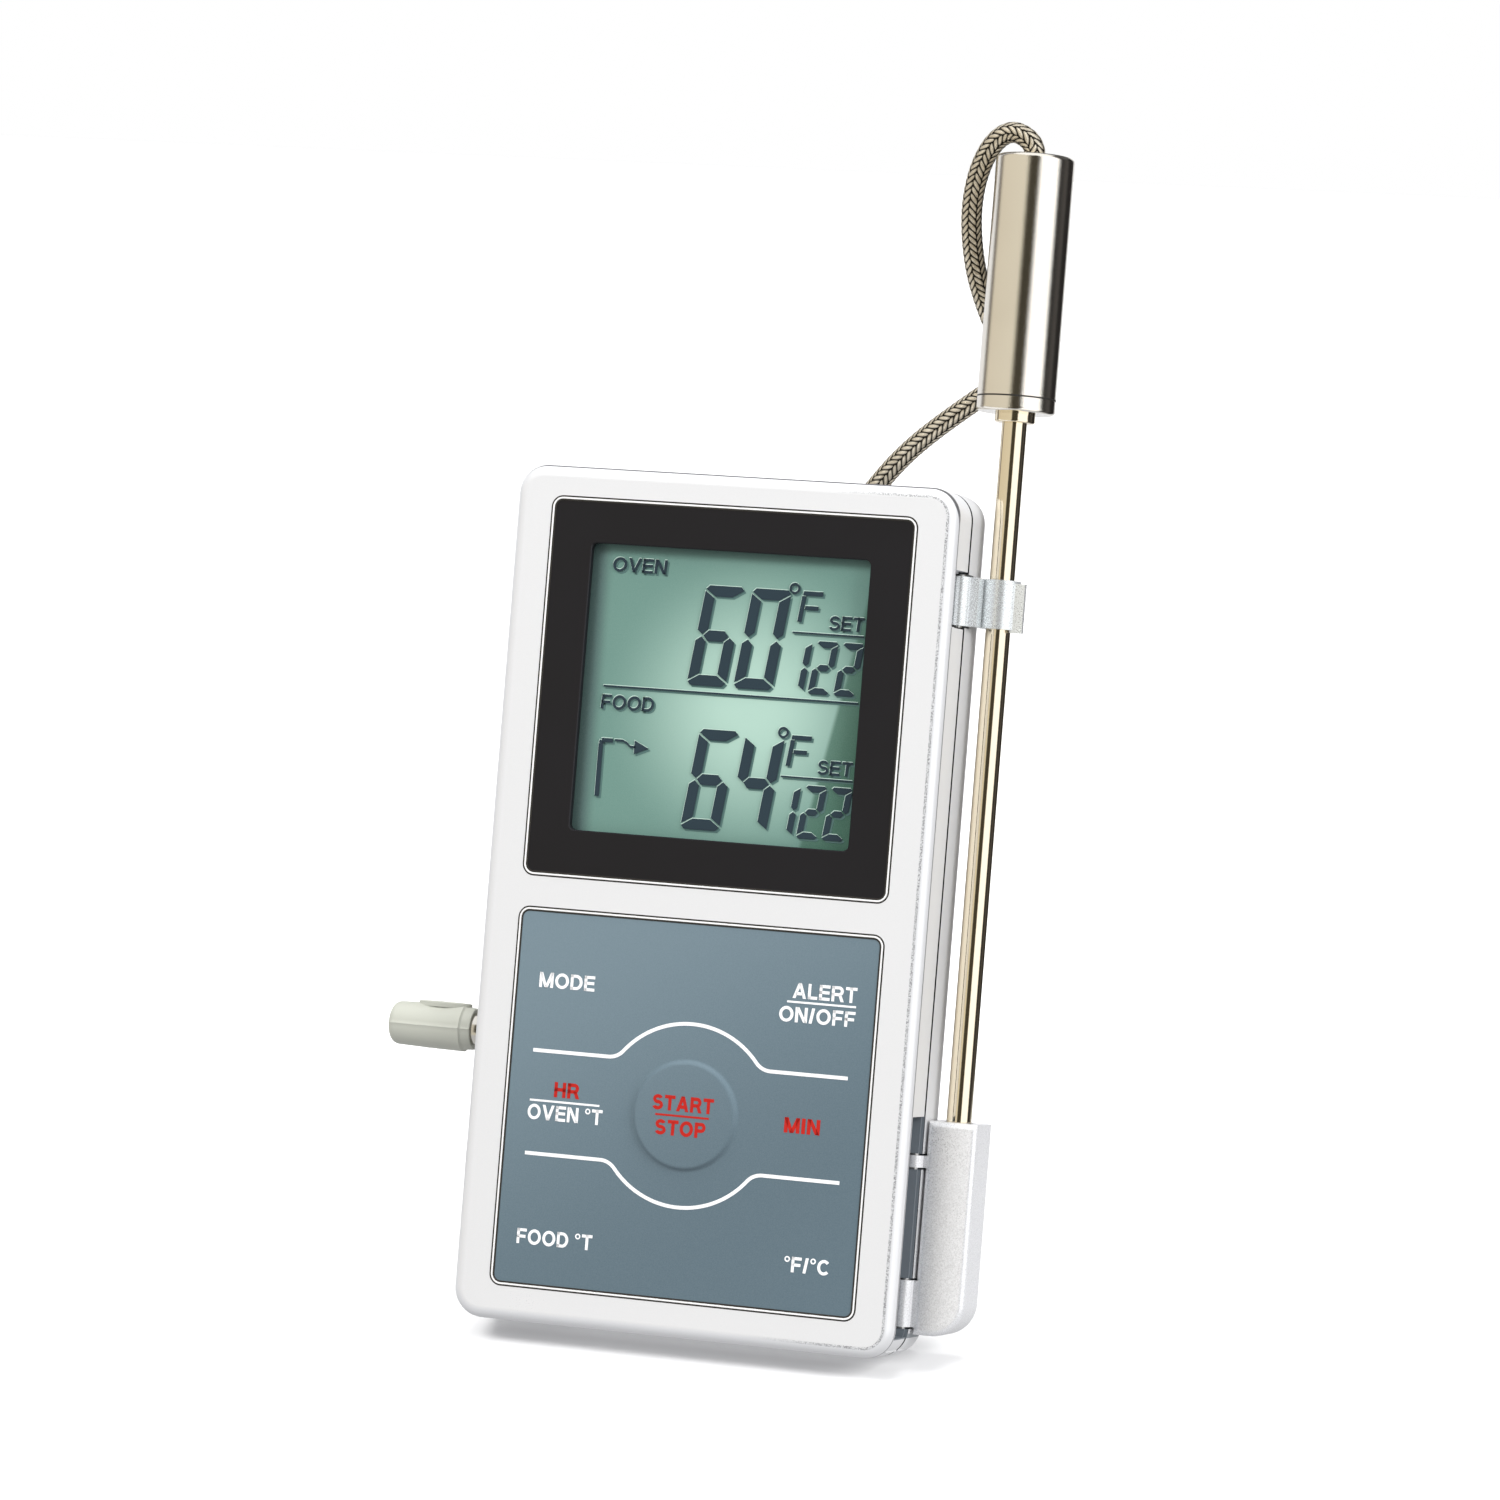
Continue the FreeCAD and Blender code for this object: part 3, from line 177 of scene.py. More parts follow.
class Nodes:
    """Short calls for building a node tree."""

    def __init__(self, tree):
        self.tree = tree
        self.tree.nodes.clear()

    def add(self, kind, **values):
        node = self.tree.nodes.new(kind)
        for name, value in values.items():
            setattr(node, name, value)
        return node

    def link(self, source, target):
        self.tree.links.new(source, target)

    def fill(self, socket, value):
        """Link an output to a socket, or set the socket to a number or a colour."""
        if hasattr(value, "is_output"):
            self.link(value, socket)
        else:
            socket.default_value = (*value, 1.0) if isinstance(value, tuple) else value

    def math(self, operation, first, second=0.0):
        node = self.add("ShaderNodeMath", operation=operation)
        self.fill(node.inputs[0], first)
        self.fill(node.inputs[1], second)
        return node.outputs[0]

    def times(self, first, *others):
        for other in others:
            first = self.math("MULTIPLY", first, other)
        return first

    def plus(self, first, second):
        return self.math("ADD", first, second)

    def minus(self, first, second):
        return self.math("SUBTRACT", first, second)

    def mix(self, share, first, second):
        node = self.add("ShaderNodeMix", data_type="RGBA")
        self.fill(node.inputs["Factor"], share)
        for name, value in (("A", first), ("B", second)):
            self.fill(next(item for item in node.inputs
                           if item.name == name and item.type == "RGBA"), value)
        return next(item for item in node.outputs if item.type == "RGBA")

    def ramp(self, value, from_low, from_high, to_low=0.0, to_high=1.0, kind="LINEAR"):
        """A value's range taken over to another range."""
        node = self.add("ShaderNodeMapRange", interpolation_type=kind)
        self.fill(node.inputs["Value"], value)
        limits = (from_low, from_high, to_low, to_high)
        for name, number in zip(("From Min", "From Max", "To Min", "To Max"), limits):
            node.inputs[name].default_value = number
        return node.outputs[0]

    def ease(self, *limits):
        """The same with smooth ends."""
        return self.ramp(*limits, kind="SMOOTHSTEP")

    def noise(self, vector, size, detail=2.0, roughness=0.5):
        """Noise whose features have about the size, in mm."""
        node = self.add("ShaderNodeTexNoise")
        self.link(vector, node.inputs["Vector"])
        node.inputs["Scale"].default_value = 1.0 / (size * MM)
        node.inputs["Detail"].default_value = detail
        node.inputs["Roughness"].default_value = roughness
        return node.outputs["Fac"]

    def split(self, vector):
        node = self.add("ShaderNodeSeparateXYZ")
        self.link(vector, node.inputs[0])
        return node.outputs["X"], node.outputs["Y"], node.outputs["Z"]

    def mapping(self, vector, **values):
        node = self.add("ShaderNodeMapping")
        self.link(vector, node.inputs["Vector"])
        for name, value in values.items():
            node.inputs[name].default_value = value
        return node.outputs[0]

    def own_place(self):
        """Object coordinates, in metres."""
        return self.add("ShaderNodeTexCoord").outputs["Object"]

    def place(self, stretch=UNIT, turn=0.0):
        """Object coordinates, turned about x and stretched."""
        turned = self.mapping(self.own_place(), Rotation=(turn, 0.0, 0.0))
        return turned if stretch == UNIT else self.mapping(turned, Scale=stretch)

    def case_axes(self):
        """The case's own x, y and z at each point of a piece in the part's frame, in metres."""
        return self.split(self.mapping(self.own_place(), Rotation=(LEAN, 0.0, 0.0),
                                       Location=CASE.inverted().translation))

    def between(self, value, low, high):
        """1 where a length in metres lies between two lengths in mm."""
        return self.times(self.math("GREATER_THAN", value, low * MM),
                          self.math("LESS_THAN", value, high * MM))

    def finish(self, colour, roughness, heights, metallic=0.0, gloss=0.5):
        """Fill the shader's sockets and chain bumps of (height, strength, distance in mm)."""
        inputs = self.shader.inputs
        self.link(colour, inputs["Base Color"])
        self.fill(inputs["Roughness"], roughness)
        self.fill(inputs["Metallic"], metallic)
        inputs["Specular IOR Level"].default_value = gloss
        normal = None
        for height, strength, distance in heights:
            node = self.add("ShaderNodeBump")
            node.inputs["Strength"].default_value = strength
            node.inputs["Distance"].default_value = distance * MM
            self.link(height, node.inputs["Height"])
            if normal:
                self.link(normal, node.inputs["Normal"])
            normal = node.outputs[0]
        if normal:
            self.link(normal, inputs["Normal"])
        return self.material


def new_material(name):
    material = bpy.data.materials.new(name)
    material.use_nodes = True
    nodes = Nodes(material.node_tree)
    nodes.material = material
    nodes.shader = nodes.add("ShaderNodeBsdfPrincipled")
    nodes.output = nodes.add("ShaderNodeOutputMaterial")
    nodes.link(nodes.shader.outputs[0], nodes.output.inputs["Surface"])
    return nodes


# ---- materials

BROAD = 14.0
BEVEL_FRONT_Y = (0.010, 0.085)
BEVEL_END_Y = 1.80
PARTING_Y = (7.80, 8.58)
RECESS_X = (32.5, 34.93)
RECESS_Y = (1.9, 18.0)
RECESS_Z = (3.0, 37.0)
CELL_BAND = 0.016
VIEW_X = (-22.15, 22.15)
VIEW_Z = (74.9, 118.5)


def moulded(name, colour, roughness, metallic, grain, depth, variation=0.05, sparkle=0.0,
            gloss=0.5, stretch=UNIT):
    """Moulded plastic, paint or metal: a fine grain in its bump, tone and gloss."""
    nodes = new_material(name)
    coordinates = nodes.place(stretch, LEAN)
    fine = nodes.noise(coordinates, grain, 3.0, 0.6)
    broad = nodes.noise(coordinates, BROAD)
    darker = tuple(part * (1.0 - variation) for part in colour)
    lighter = tuple(min(1.0, part * (1.0 + variation)) for part in colour)
    tone = nodes.mix(nodes.ramp(broad, 0.3, 0.7), darker, lighter)
    if sparkle:
        scaled = nodes.add("ShaderNodeVectorMath", operation="SCALE")
        nodes.link(tone, scaled.inputs[0])
        nodes.link(nodes.ramp(fine, 0.35, 0.65, 1.0 - sparkle, 1.0 + sparkle),
                   scaled.inputs["Scale"])
        tone = scaled.outputs[0]
    rough = nodes.ramp(nodes.plus(fine, broad), 0.6, 1.4, max(0.02, roughness * 0.82),
                       min(1.0, roughness * 1.18))
    return nodes.finish(tone, rough, [(fine, 1.0, depth)], metallic, gloss)


def film_ink():
    """The keypad film: slate with a fine satin grain; painted light makes its top left lighter.
    """
    nodes = new_material("slate_film")
    x, _, z = nodes.case_axes()
    # Painted light: the slate runs from darker at the bottom right to lighter at the top left.
    slant = nodes.minus(z, nodes.times(x, 0.60))
    fine = nodes.noise(nodes.place(), 0.13)
    colour = nodes.mix(nodes.ease(slant, 10.0 * MM, 76.0 * MM), (0.089, 0.133, 0.161),
                       (0.146, 0.204, 0.237))
    colour = nodes.mix(nodes.ramp(fine, 0.35, 0.65, 0.0, 0.07), colour, (0.42, 0.50, 0.54))
    return nodes.finish(colour, nodes.ramp(fine, 0.3, 0.7, 0.40, 0.50), [(fine, 1.0, 0.003)],
                        gloss=0.35)


def case_paint():
    """Pale silver paint: dark parting line and bevel lines, painted shade in the recess."""
    nodes = new_material("silver_paint")
    coordinates = nodes.place(turn=LEAN)
    x, y, z = nodes.case_axes()
    fine = nodes.noise(coordinates, 0.15, 3.0, 0.6)
    broad = nodes.noise(coordinates, BROAD)
    tone = nodes.mix(fine, (0.700, 0.705, 0.717), (0.750, 0.755, 0.767))
    # A dark speckled line where the front face meets the bevel, on the right part only.
    right = nodes.ease(x, 10.0 * MM, 30.0 * MM, 0.0, 0.75)
    bevel_front_line = nodes.times(nodes.between(y, *BEVEL_FRONT_Y),
                       nodes.times(nodes.ramp(fine, 0.46, 0.54), right))
    tone = nodes.mix(bevel_front_line, tone, (0.16, 0.16, 0.17))
    # Painted shadow: a dark line where the bevel meets the side, stronger towards the top.
    upper = nodes.ease(z, 124.0 * MM, 127.5 * MM)
    start = nodes.ramp(upper, 0.0, 1.0, 1.46 * MM, 0.92 * MM)
    edge = nodes.times(nodes.math("GREATER_THAN", y, start),
                       nodes.math("LESS_THAN", y, BEVEL_END_Y * MM),
                       nodes.ramp(upper, 0.0, 1.0, 0.70, 0.92))
    tone = nodes.mix(edge, tone, (0.07, 0.07, 0.08))
    tone = nodes.mix(nodes.between(y, *PARTING_Y), tone, (0.012, 0.012, 0.015))
    # Painted shade: slate grey on the recess behind the pocket, for the shade the pocket casts.
    recess = nodes.times(nodes.between(x, *RECESS_X), nodes.between(z, *RECESS_Z),
                         nodes.between(y, *RECESS_Y))
    tone = nodes.mix(recess, tone, (0.20, 0.225, 0.25))
    rough = nodes.ramp(nodes.plus(fine, broad), 0.6, 1.4, 0.27, 0.33)
    return nodes.finish(tone, rough, [(fine, 1.0, 0.0035)], metallic=0.22)


def circuit_board():
    """Green solder mask with faint lighter tracks and a glass weave under it."""
    nodes = new_material("solder_mask")
    coordinates = nodes.place(turn=LEAN)
    tracks = nodes.add("ShaderNodeTexVoronoi", distance="MANHATTAN", feature="DISTANCE_TO_EDGE")
    nodes.link(coordinates, tracks.inputs["Vector"])
    tracks.inputs["Scale"].default_value = 1.0 / (4.0 * MM)
    track = nodes.ramp(tracks.outputs["Distance"], 0.05, 0.07, 1.0, 0.0)
    weave = nodes.noise(coordinates, 0.5, 1.0)
    colour = nodes.mix(track, (0.010, 0.110, 0.040), (0.030, 0.210, 0.080))
    return nodes.finish(colour, 0.32, [(track, 0.5, 0.03), (weave, 0.3, 0.01)])


def cell_sleeve():
    """The cell's printed sleeve: dark blue with a silver band near its nub."""
    nodes = new_material("cell_sleeve")
    coordinates = nodes.place(turn=LEAN)
    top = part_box("battery")[1].z / math.cos(LEAN)
    band = nodes.math("GREATER_THAN", nodes.split(coordinates)[2], top - CELL_BAND)
    fine = nodes.noise(coordinates, 0.3)
    colour = nodes.mix(band, (0.020, 0.050, 0.200), (0.60, 0.60, 0.60))
    return nodes.finish(colour, 0.3, [(fine, 0.3, 0.004)], metallic=band)


def steel_braid():
    """Plaited strands of fine wire, laid by the tube's own attribute."""
    nodes = new_material("steel_braid")
    attribute = nodes.add("ShaderNodeAttribute", attribute_name="braid")
    travelled, cosine, sine = nodes.split(attribute.outputs["Vector"])
    around = nodes.times(nodes.math("ARCTAN2", sine, cosine), BRAID_COLUMNS / TURN)
    column = nodes.math("FLOOR", around)
    across = nodes.minus(around, column)
    odd = nodes.math("ABSOLUTE", nodes.math("MODULO", column, 2.0))
    lean = nodes.minus(nodes.times(odd, 2.0), 1.0)
    run = nodes.plus(nodes.math("DIVIDE", travelled, BRAID_PITCH),
                     nodes.times(lean, across, BRAID_SLOPE))
    share = nodes.math("FRACT", nodes.plus(run, nodes.times(odd, 0.5)))
    strand = nodes.math("SINE", nodes.times(share, math.pi))
    ends = nodes.math("SINE", nodes.times(across, math.pi))
    wire = nodes.math("ABSOLUTE", nodes.math("SINE", nodes.times(share, 2.0 * TURN)))
    height = nodes.times(nodes.math("POWER", strand, 0.6), nodes.math("POWER", ends, 0.25))
    ridges = nodes.times(height, nodes.plus(0.78, nodes.times(wire, 0.22)))
    metal = nodes.mix(nodes.noise(nodes.place(), 0.9), (0.56, 0.48, 0.35), (1.0, 0.93, 0.78))
    # Painted shade: near-black in the gaps between the strands, the strands' metal on top.
    colour = nodes.mix(nodes.ramp(ridges, 0.44, 0.72), (0.010, 0.008, 0.005), metal)
    return nodes.finish(colour, nodes.ramp(ridges, 0.3, 0.9, 0.60, 0.26),
                        [(ridges, 1.0, 0.14)], metallic=0.80)


def lcd_reflector():
    """The display's back film: grey-green, with painted light brightest in the middle, a painted
    dark reflection beside a slant, and painted shadow along its left and top edges.

    It lies on a piece that rides on the case, so its coordinates are the case's own."""
    nodes = new_material("lcd_reflector")
    coordinates = nodes.place()
    x, _, z = nodes.split(coordinates)
    across = nodes.ramp(x, VIEW_X[0] * MM, VIEW_X[1] * MM)
    up = nodes.ramp(z, VIEW_Z[0] * MM, VIEW_Z[1] * MM)
    # Painted light: a pool of light round a point a little right of the middle, fading outwards.
    off_x = nodes.times(nodes.minus(across, 0.60), 1.20)
    off_z = nodes.times(nodes.minus(up, 0.47), 1.15)
    off = nodes.math("SQRT", nodes.plus(nodes.times(off_x, off_x), nodes.times(off_z, off_z)))
    glow = nodes.ease(off, 0.05, 0.66, 1.0, 0.0)
    colour = nodes.mix(glow, (0.122, 0.232, 0.197), (0.360, 0.525, 0.445))
    # Painted reflection: a dark slanted band near the right edge, weaker towards the top.
    slant = nodes.minus(across, nodes.times(up, 0.20))
    band = nodes.times(nodes.ease(slant, 0.805, 0.825), nodes.ramp(slant, 0.80, 0.93, 0.74, 0.94),
                       nodes.ease(up, 1.0, 0.62, 0.60, 1.0))
    colour = nodes.mix(band, colour, (0.032, 0.100, 0.066))
    # Painted shadow of the opening's walls along the left and top edges.
    side = nodes.ease(across, 0.018, 0.075, 0.80, 0.0)
    brim = nodes.ease(up, 0.975, 0.999, 0.0, 0.40)
    colour = nodes.mix(nodes.math("MAXIMUM", side, brim), colour, (0.045, 0.075, 0.078))
    grain = nodes.noise(coordinates, 0.11)
    colour = nodes.mix(nodes.ramp(grain, 0.3, 0.7, 0.0, 0.08), colour, (0.46, 0.58, 0.50))
    return nodes.finish(colour, 0.4, [(grain, 1.0, 0.002)], gloss=0.2)


# For each look: the material's name, its colour, roughness, metallic share, grain and bump
# depth in mm, then how far its tone varies, its sparkle, its gloss level and its stretch.
PLAIN_LOOKS = {
    "holder": ("holder_silver", (0.79, 0.795, 0.81), 0.30, 0.34, 0.17, 0.008, 0.01, 0.16),
    "clip": ("clip_silver", (0.78, 0.81, 0.82), 0.27, 0.62, 0.17, 0.008, 0.02, 0.14),
    "steel": ("probe_steel", (0.92, 0.82, 0.63), 0.09, 1.0, 0.16, 0.0016, 0.04, 0.0, 0.5,
              (1.0, 1.0, 0.3)),
    "handle": ("handle_steel", (0.90, 0.86, 0.78), 0.10, 1.0, 0.17, 0.016, 0.03),
    # Near-black painted shade for the gaps round the plates and at the handle's joint.
    "gap_shade": ("joint_shadow", (0.02, 0.018, 0.015), 0.50, 0.0, 0.20, 0.004),
    "hardware": ("hardware_steel", (0.55, 0.55, 0.54), 0.30, 1.0, 0.15, 0.004, 0.06),
    "nickel": ("nickel_plate", (0.72, 0.70, 0.65), 0.16, 1.0, 0.20, 0.002, 0.04),
    "mask": ("black_print", (0.0070, 0.0066, 0.0088), 0.35, 0.0, 0.14, 0.002, 0.10, 0.0, 0.30),
    "white_print": ("white_ink", (0.88, 0.88, 0.88), 0.55, 0.0, 0.10, 0.001, 0.02),
    "red_print": ("red_ink", (0.46, 0.016, 0.010), 0.55, 0.0, 0.10, 0.001, 0.05, 0.0, 0.25),
    "key": ("key_plastic", (0.30, 0.32, 0.33), 0.50, 0.0, 0.25, 0.006),
    "white_plastic": ("white_plastic", (0.78, 0.78, 0.75), 0.50, 0.0, 0.3, 0.008),
    "black_plastic": ("black_plastic", (0.020, 0.020, 0.022), 0.45, 0.0, 0.3, 0.010),
    "rubber": ("conductive_rubber", (0.03, 0.03, 0.03), 0.70, 0.0, 0.4, 0.012),
    "plug": ("plug_moulding", (0.47, 0.48, 0.42), 0.42, 0.0, 0.22, 0.006, 0.04),
    "insulator": ("silicone", (0.60, 0.56, 0.48), 0.55, 0.0, 0.3, 0.010),
    "bead": ("sensor_epoxy", (0.05, 0.07, 0.11), 0.20, 0.0, 0.5, 0.010),
    "tie": ("tie_coating", (0.02, 0.02, 0.02), 0.40, 0.0, 0.4, 0.010),
    "brass": ("brass_disc", (0.76, 0.55, 0.22), 0.28, 1.0, 0.2, 0.004, 0.06),
    "chip": ("epoxy_blob", (0.012, 0.012, 0.013), 0.25, 0.0, 0.8, 0.03),
    "ribbon": ("ribbon_film", (0.72, 0.70, 0.62), 0.40, 0.0, 0.3, 0.006, 0.05, 0.0, 0.5,
               (6.0, 1.0, 1.0)),
    # The rim's silver, lighter than the case's, is a painted highlight.
    "rim": ("rim_silver", (0.90, 0.90, 0.90), 0.35, 0.2, 0.15, 0.002, 0.02),
    "segment": ("lcd_segment", (0.022, 0.038, 0.050), 0.45, 0.0, 0.12, 0.001, 0.05, 0.0, 0.2),
    # Flat colours for the characters, their painted shadow and their painted pale halo.
    "ghost": ("lcd_shadow", (0.080, 0.150, 0.140), 0.45, 0.0, 0.12, 0.001, 0.05, 0.0, 0.2),
    "halo": ("lcd_halo", (0.50, 0.66, 0.58), 0.45, 0.0, 0.12, 0.001, 0.05, 0.0, 0.2),
}
MATERIALS = {look: moulded(*row) for look, row in PLAIN_LOOKS.items()}
MATERIALS.update(silver=case_paint(), film=film_ink(), board=circuit_board(),
                 cell=cell_sleeve(), braid=steel_braid(), lcd=lcd_reflector())


# ---- cable

LEAD_ROUTE = [
    (-50.3, 0.9, 37.7), (-50.5, 6.6, 35.8), (-51.4, 13.4, 30.6), (-53.2, 19.0, 22.6),
    (-55.4, 23.4, 13.4), (-57.0, 28.6, 5.6), (-57.75, 33.3, 2.4), (-57.1, 37.0, 2.1),
]
RISE_ROUTE = [
    (-40.0, 55.7, 8.5), (-33.0, 55.9, 8.6), (-22.0, 55.2, 11.5), (-12.0, 52.8, 21.5),
    (-5.6, 48.4, 39.0), (-2.4, 42.2, 60.0), (-1.0, 35.4, 82.0), (0.6, 29.6, 102.0),
    (5.2, 27.2, 116.4), (12.2, 28.6, 125.6), (19.4, 30.4, 131.8), (25.55, 32.02, 136.1),
]
LOOP_ROUTE = [
    (25.35, 31.95, 135.85), (27.8, 32.9, 138.9), (27.6, 33.1, 144.4), (25.6, 32.4, 149.6),
    (24.1, 31.4, 156.0), (23.6, 31.2, 164.0), (24.6, 32.0, 170.4), (26.8, 32.7, 174.9),
    (29.7, 32.7, 176.9), (32.5, 32.0, 176.1), (33.9, 31.9, 174.1), (33.92, 30.97, 171.53),
]
RISE_BEND = ((0.0, 34.0, 88.0), (25.2, 31.9, 134.0))
COIL_CENTRE = (-38.0, 36.5)
# Each turn's radius and height, and the share of a turn after which it moves to the next.
COIL_TURNS = [(19.2, 2.1), (16.0, 2.1), (16.0, 5.3), (19.2, 5.3), (16.0, 8.5), (19.2, 8.5)]
COIL_SHIFT = 0.72
COIL_SLACK = 0.12
POINTS_PER_TURN = 16
# The spline cuts its corners, so the coil's points stand this much further out.
COIL_REACH = 1.0 / math.cos(math.pi / POINTS_PER_TURN) ** 0.7
LINE_RESOLUTION = 8
RING_POINTS = 40
RING_SPACING = 0.22
LOOP_SPACING = 0.18


def coil_route():
    """The coil's turns, clockwise from above, from its left side to its back."""
    points = []
    for step in range(POINTS_PER_TURN * len(COIL_TURNS) + POINTS_PER_TURN // 4 - 1):
        turn, within = divmod(step / POINTS_PER_TURN, 1.0)
        here = COIL_TURNS[min(int(turn), len(COIL_TURNS) - 1)]
        after = COIL_TURNS[min(int(turn) + 1, len(COIL_TURNS) - 1)]
        share = smooth_step(COIL_SHIFT, 1.0, within)
        slack = DICE.uniform(-COIL_SLACK, COIL_SLACK)
        radius = (here[0] + (after[0] - here[0]) * share) * COIL_REACH + slack
        angle = math.pi - TURN * step / POINTS_PER_TURN
        points.append((COIL_CENTRE[0] + radius * math.cos(angle),
                       COIL_CENTRE[1] + radius * math.sin(angle),
                       here[1] + (after[1] - here[1]) * share))
    return points


def smooth_line(name, route):
    """Points read from the route's NURBS spline, in millimetres."""
    curve = bpy.data.curves.new(name + "_line", "CURVE")
    curve.dimensions = "3D"
    spline = curve.splines.new("NURBS")
    spline.points.add(len(route) - 1)
    for point, place in zip(spline.points, route):
        point.co = (*place, 1.0)
    spline.order_u = 3
    spline.use_endpoint_u = True
    spline.resolution_u = LINE_RESOLUTION
    holder = bpy.data.objects.new(name + "_line", curve)
    bpy.context.scene.collection.objects.link(holder)
    bpy.context.view_layer.update()
    line = bpy.data.meshes.new_from_object(holder)
    points = [vertex.co.copy() for vertex in line.vertices]
    bpy.data.objects.remove(holder)
    bpy.data.meshes.remove(line)
    bpy.data.curves.remove(curve)
    return points


def evenly(points, step):
    """Points a step apart along a line of points."""
    spaced = [points[0]]
    left_over = step
    for start, end in zip(points, points[1:]):
        length = (end - start).length
        while left_over < length:
            spaced.append(start.lerp(end, left_over / length))
            left_over += step
        left_over -= length
    if (spaced[-1] - points[-1]).length > step / 2:
        spaced.append(points[-1].copy())
    return spaced


def braid_height(travelled, angle):
    """How far the strand at a place on the cable stands out, from 0 in a gap to 1."""
    around = angle * BRAID_COLUMNS / TURN
    column = math.floor(around)
    odd = column % 2
    run = travelled / BRAID_PITCH + (2 * odd - 1) * (around - column) * BRAID_SLOPE + 0.5 * odd
    return math.sin((run - math.floor(run)) * math.pi) ** 0.6


def braided_tube(name, route, spacing):
    """A tube along the route's spline, swollen by the braid's strands, and its middle line."""
    line = evenly(smooth_line(name, route), spacing)
    side = (line[1] - line[0]).normalized().orthogonal().normalized()
    rings = []
    braid = []
    travelled = 0.0
    for index, centre in enumerate(line):
        ahead = line[min(index + 1, len(line) - 1)] - line[max(index - 1, 0)]
        tangent = ahead.normalized()
        side = (side - tangent * side.dot(tangent)).normalized()
        across = tangent.cross(side)
        if index:
            travelled += (centre - line[index - 1]).length
        ring = []
        for step in range(RING_POINTS):
            angle = TURN * step / RING_POINTS
            signed = angle if angle <= math.pi else angle - TURN
            reach = CABLE_RADIUS - BRAID_DEPTH * (1.0 - braid_height(travelled, signed))
            ring.append(centre + (side * math.cos(angle) + across * math.sin(angle)) * reach)
            braid.extend((travelled, math.cos(angle), math.sin(angle)))
        rings.append(ring)
    made = make_piece(name, stacked_rings(rings), None, "braid", PART)
    made.data.attributes.new("braid", "FLOAT_VECTOR", "POINT").data.foreach_set("vector", braid)
    return made, [tuple(point * MM) for point in line]


def lay_cable():
    """The cable's three stretches, each put in place of the model's own cable pieces."""
    laid = []
    for name, route, spacing, bodies, bend, nodes in (
            ("cable_to_plug", LEAD_ROUTE, RING_SPACING, ("plug", "case"),
             (LEAD_ROUTE[0], LEAD_ROUTE[5]), ["cable_lead"]),
            ("cable_coiled", coil_route() + RISE_ROUTE, RING_SPACING, ("case", "probe_pocket"),
             RISE_BEND, ["cable_coil", "cable_rise"]),
            ("cable_over_handle", LOOP_ROUTE, LOOP_SPACING, ("probe_pocket", "probe"),
             (LOOP_ROUTE[0], LOOP_ROUTE[8]), ["cable_loop"])):
        made, line = braided_tube(name, route, spacing)
        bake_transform(made)
        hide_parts(*nodes)
        laid.append((made, line))
    return laid


LEAD, LONG, LOOP = lay_cable()


# ---- CAD nodes that stay

NODE_LOOKS = {
    "silver": ["front_shell", "rear_shell", "battery_door", "stand_leg"],
    "holder": ["probe_pocket"],
    "clip": ["probe_clip"],
    "steel": ["probe_stem", "probe_collar"],
    "handle": ["handle_base", "handle_tube"],
    "hardware": ["case_screws", "stand_pin", "pocket_pin", "clip_pin", "snap_domes",
                 "battery_spring"],
    "nickel": ["magnets", "battery_contacts", "quartz_crystal", "plug_contacts"],
    "white_plastic": ["lcd_frame"],
    "black_plastic": ["jack_socket", "plug_insulators", "buzzer_cup"],
    "rubber": ["connector_strips"],
    "insulator": ["handle_insulator", "cable_bush"],
    "bead": ["food_sensor", "oven_sensor"],
    "brass": ["buzzer_disc"],
    "chip": ["controller_chip"],
    "ribbon": ["ribbon_cable"],
    "board": ["main_board", "key_board"],
    "cell": ["battery"],
    "key": ["mode_key", "alert_key", "hour_key", "start_stop_key", "minute_key", "food_key",
            "unit_key"],
    "lcd": ["lcd_panel"],
}
for look, names in NODE_LOOKS.items():
    for name in names:
        for holder in NODES[name].material_slots:
            holder.material = MATERIALS[look]


# ---- display

PLATE_X = (-28.5, 28.5)
PLATE_CORNER = 1.2
DISPLAY_Z = (68.1, 124.8)
KEYPAD_Z = (5.8, 62.3)
MASK_FRONT = 0.05
MASK_BACK = 1.2
MASK_EDGE = 0.15
LCD_X = (-22.9, 22.9)
LCD_Z = (74.2, 119.2)
LCD_CORNER = 0.9
LCD_FACE = 2.0
SLANT = 0.130
# The two rows' lower edges; the large digits' place, pitch, width, height, stroke and gap;
# the same for the small digits; the middle and radius of the degree sign's ring.
ROW_BASES = (98.1, 76.4)
LARGE_LEFT = {"60": -5.9, "64": -5.1}
LARGE_PITCH = 7.4
LARGE_DIGIT = (6.15, 15.2, 1.62, 0.20)
SMALL_LEFT = 9.25
SMALL_PITCH = 4.05
SMALL_DIGIT = (3.3, 8.0, 0.95, 0.14)
DEGREE_X = 10.05
DEGREE_RISE = 15.55
DEGREE_RADIUS = 0.68
DEGREE_HALF = 0.17
UNIT_RISE = 10.6
WORD_HEIGHT = 2.15
BARS_OF_DIGIT = {"0": "abcdef", "1": "bc", "2": "abged", "4": "fgbc", "6": "afgedc"}


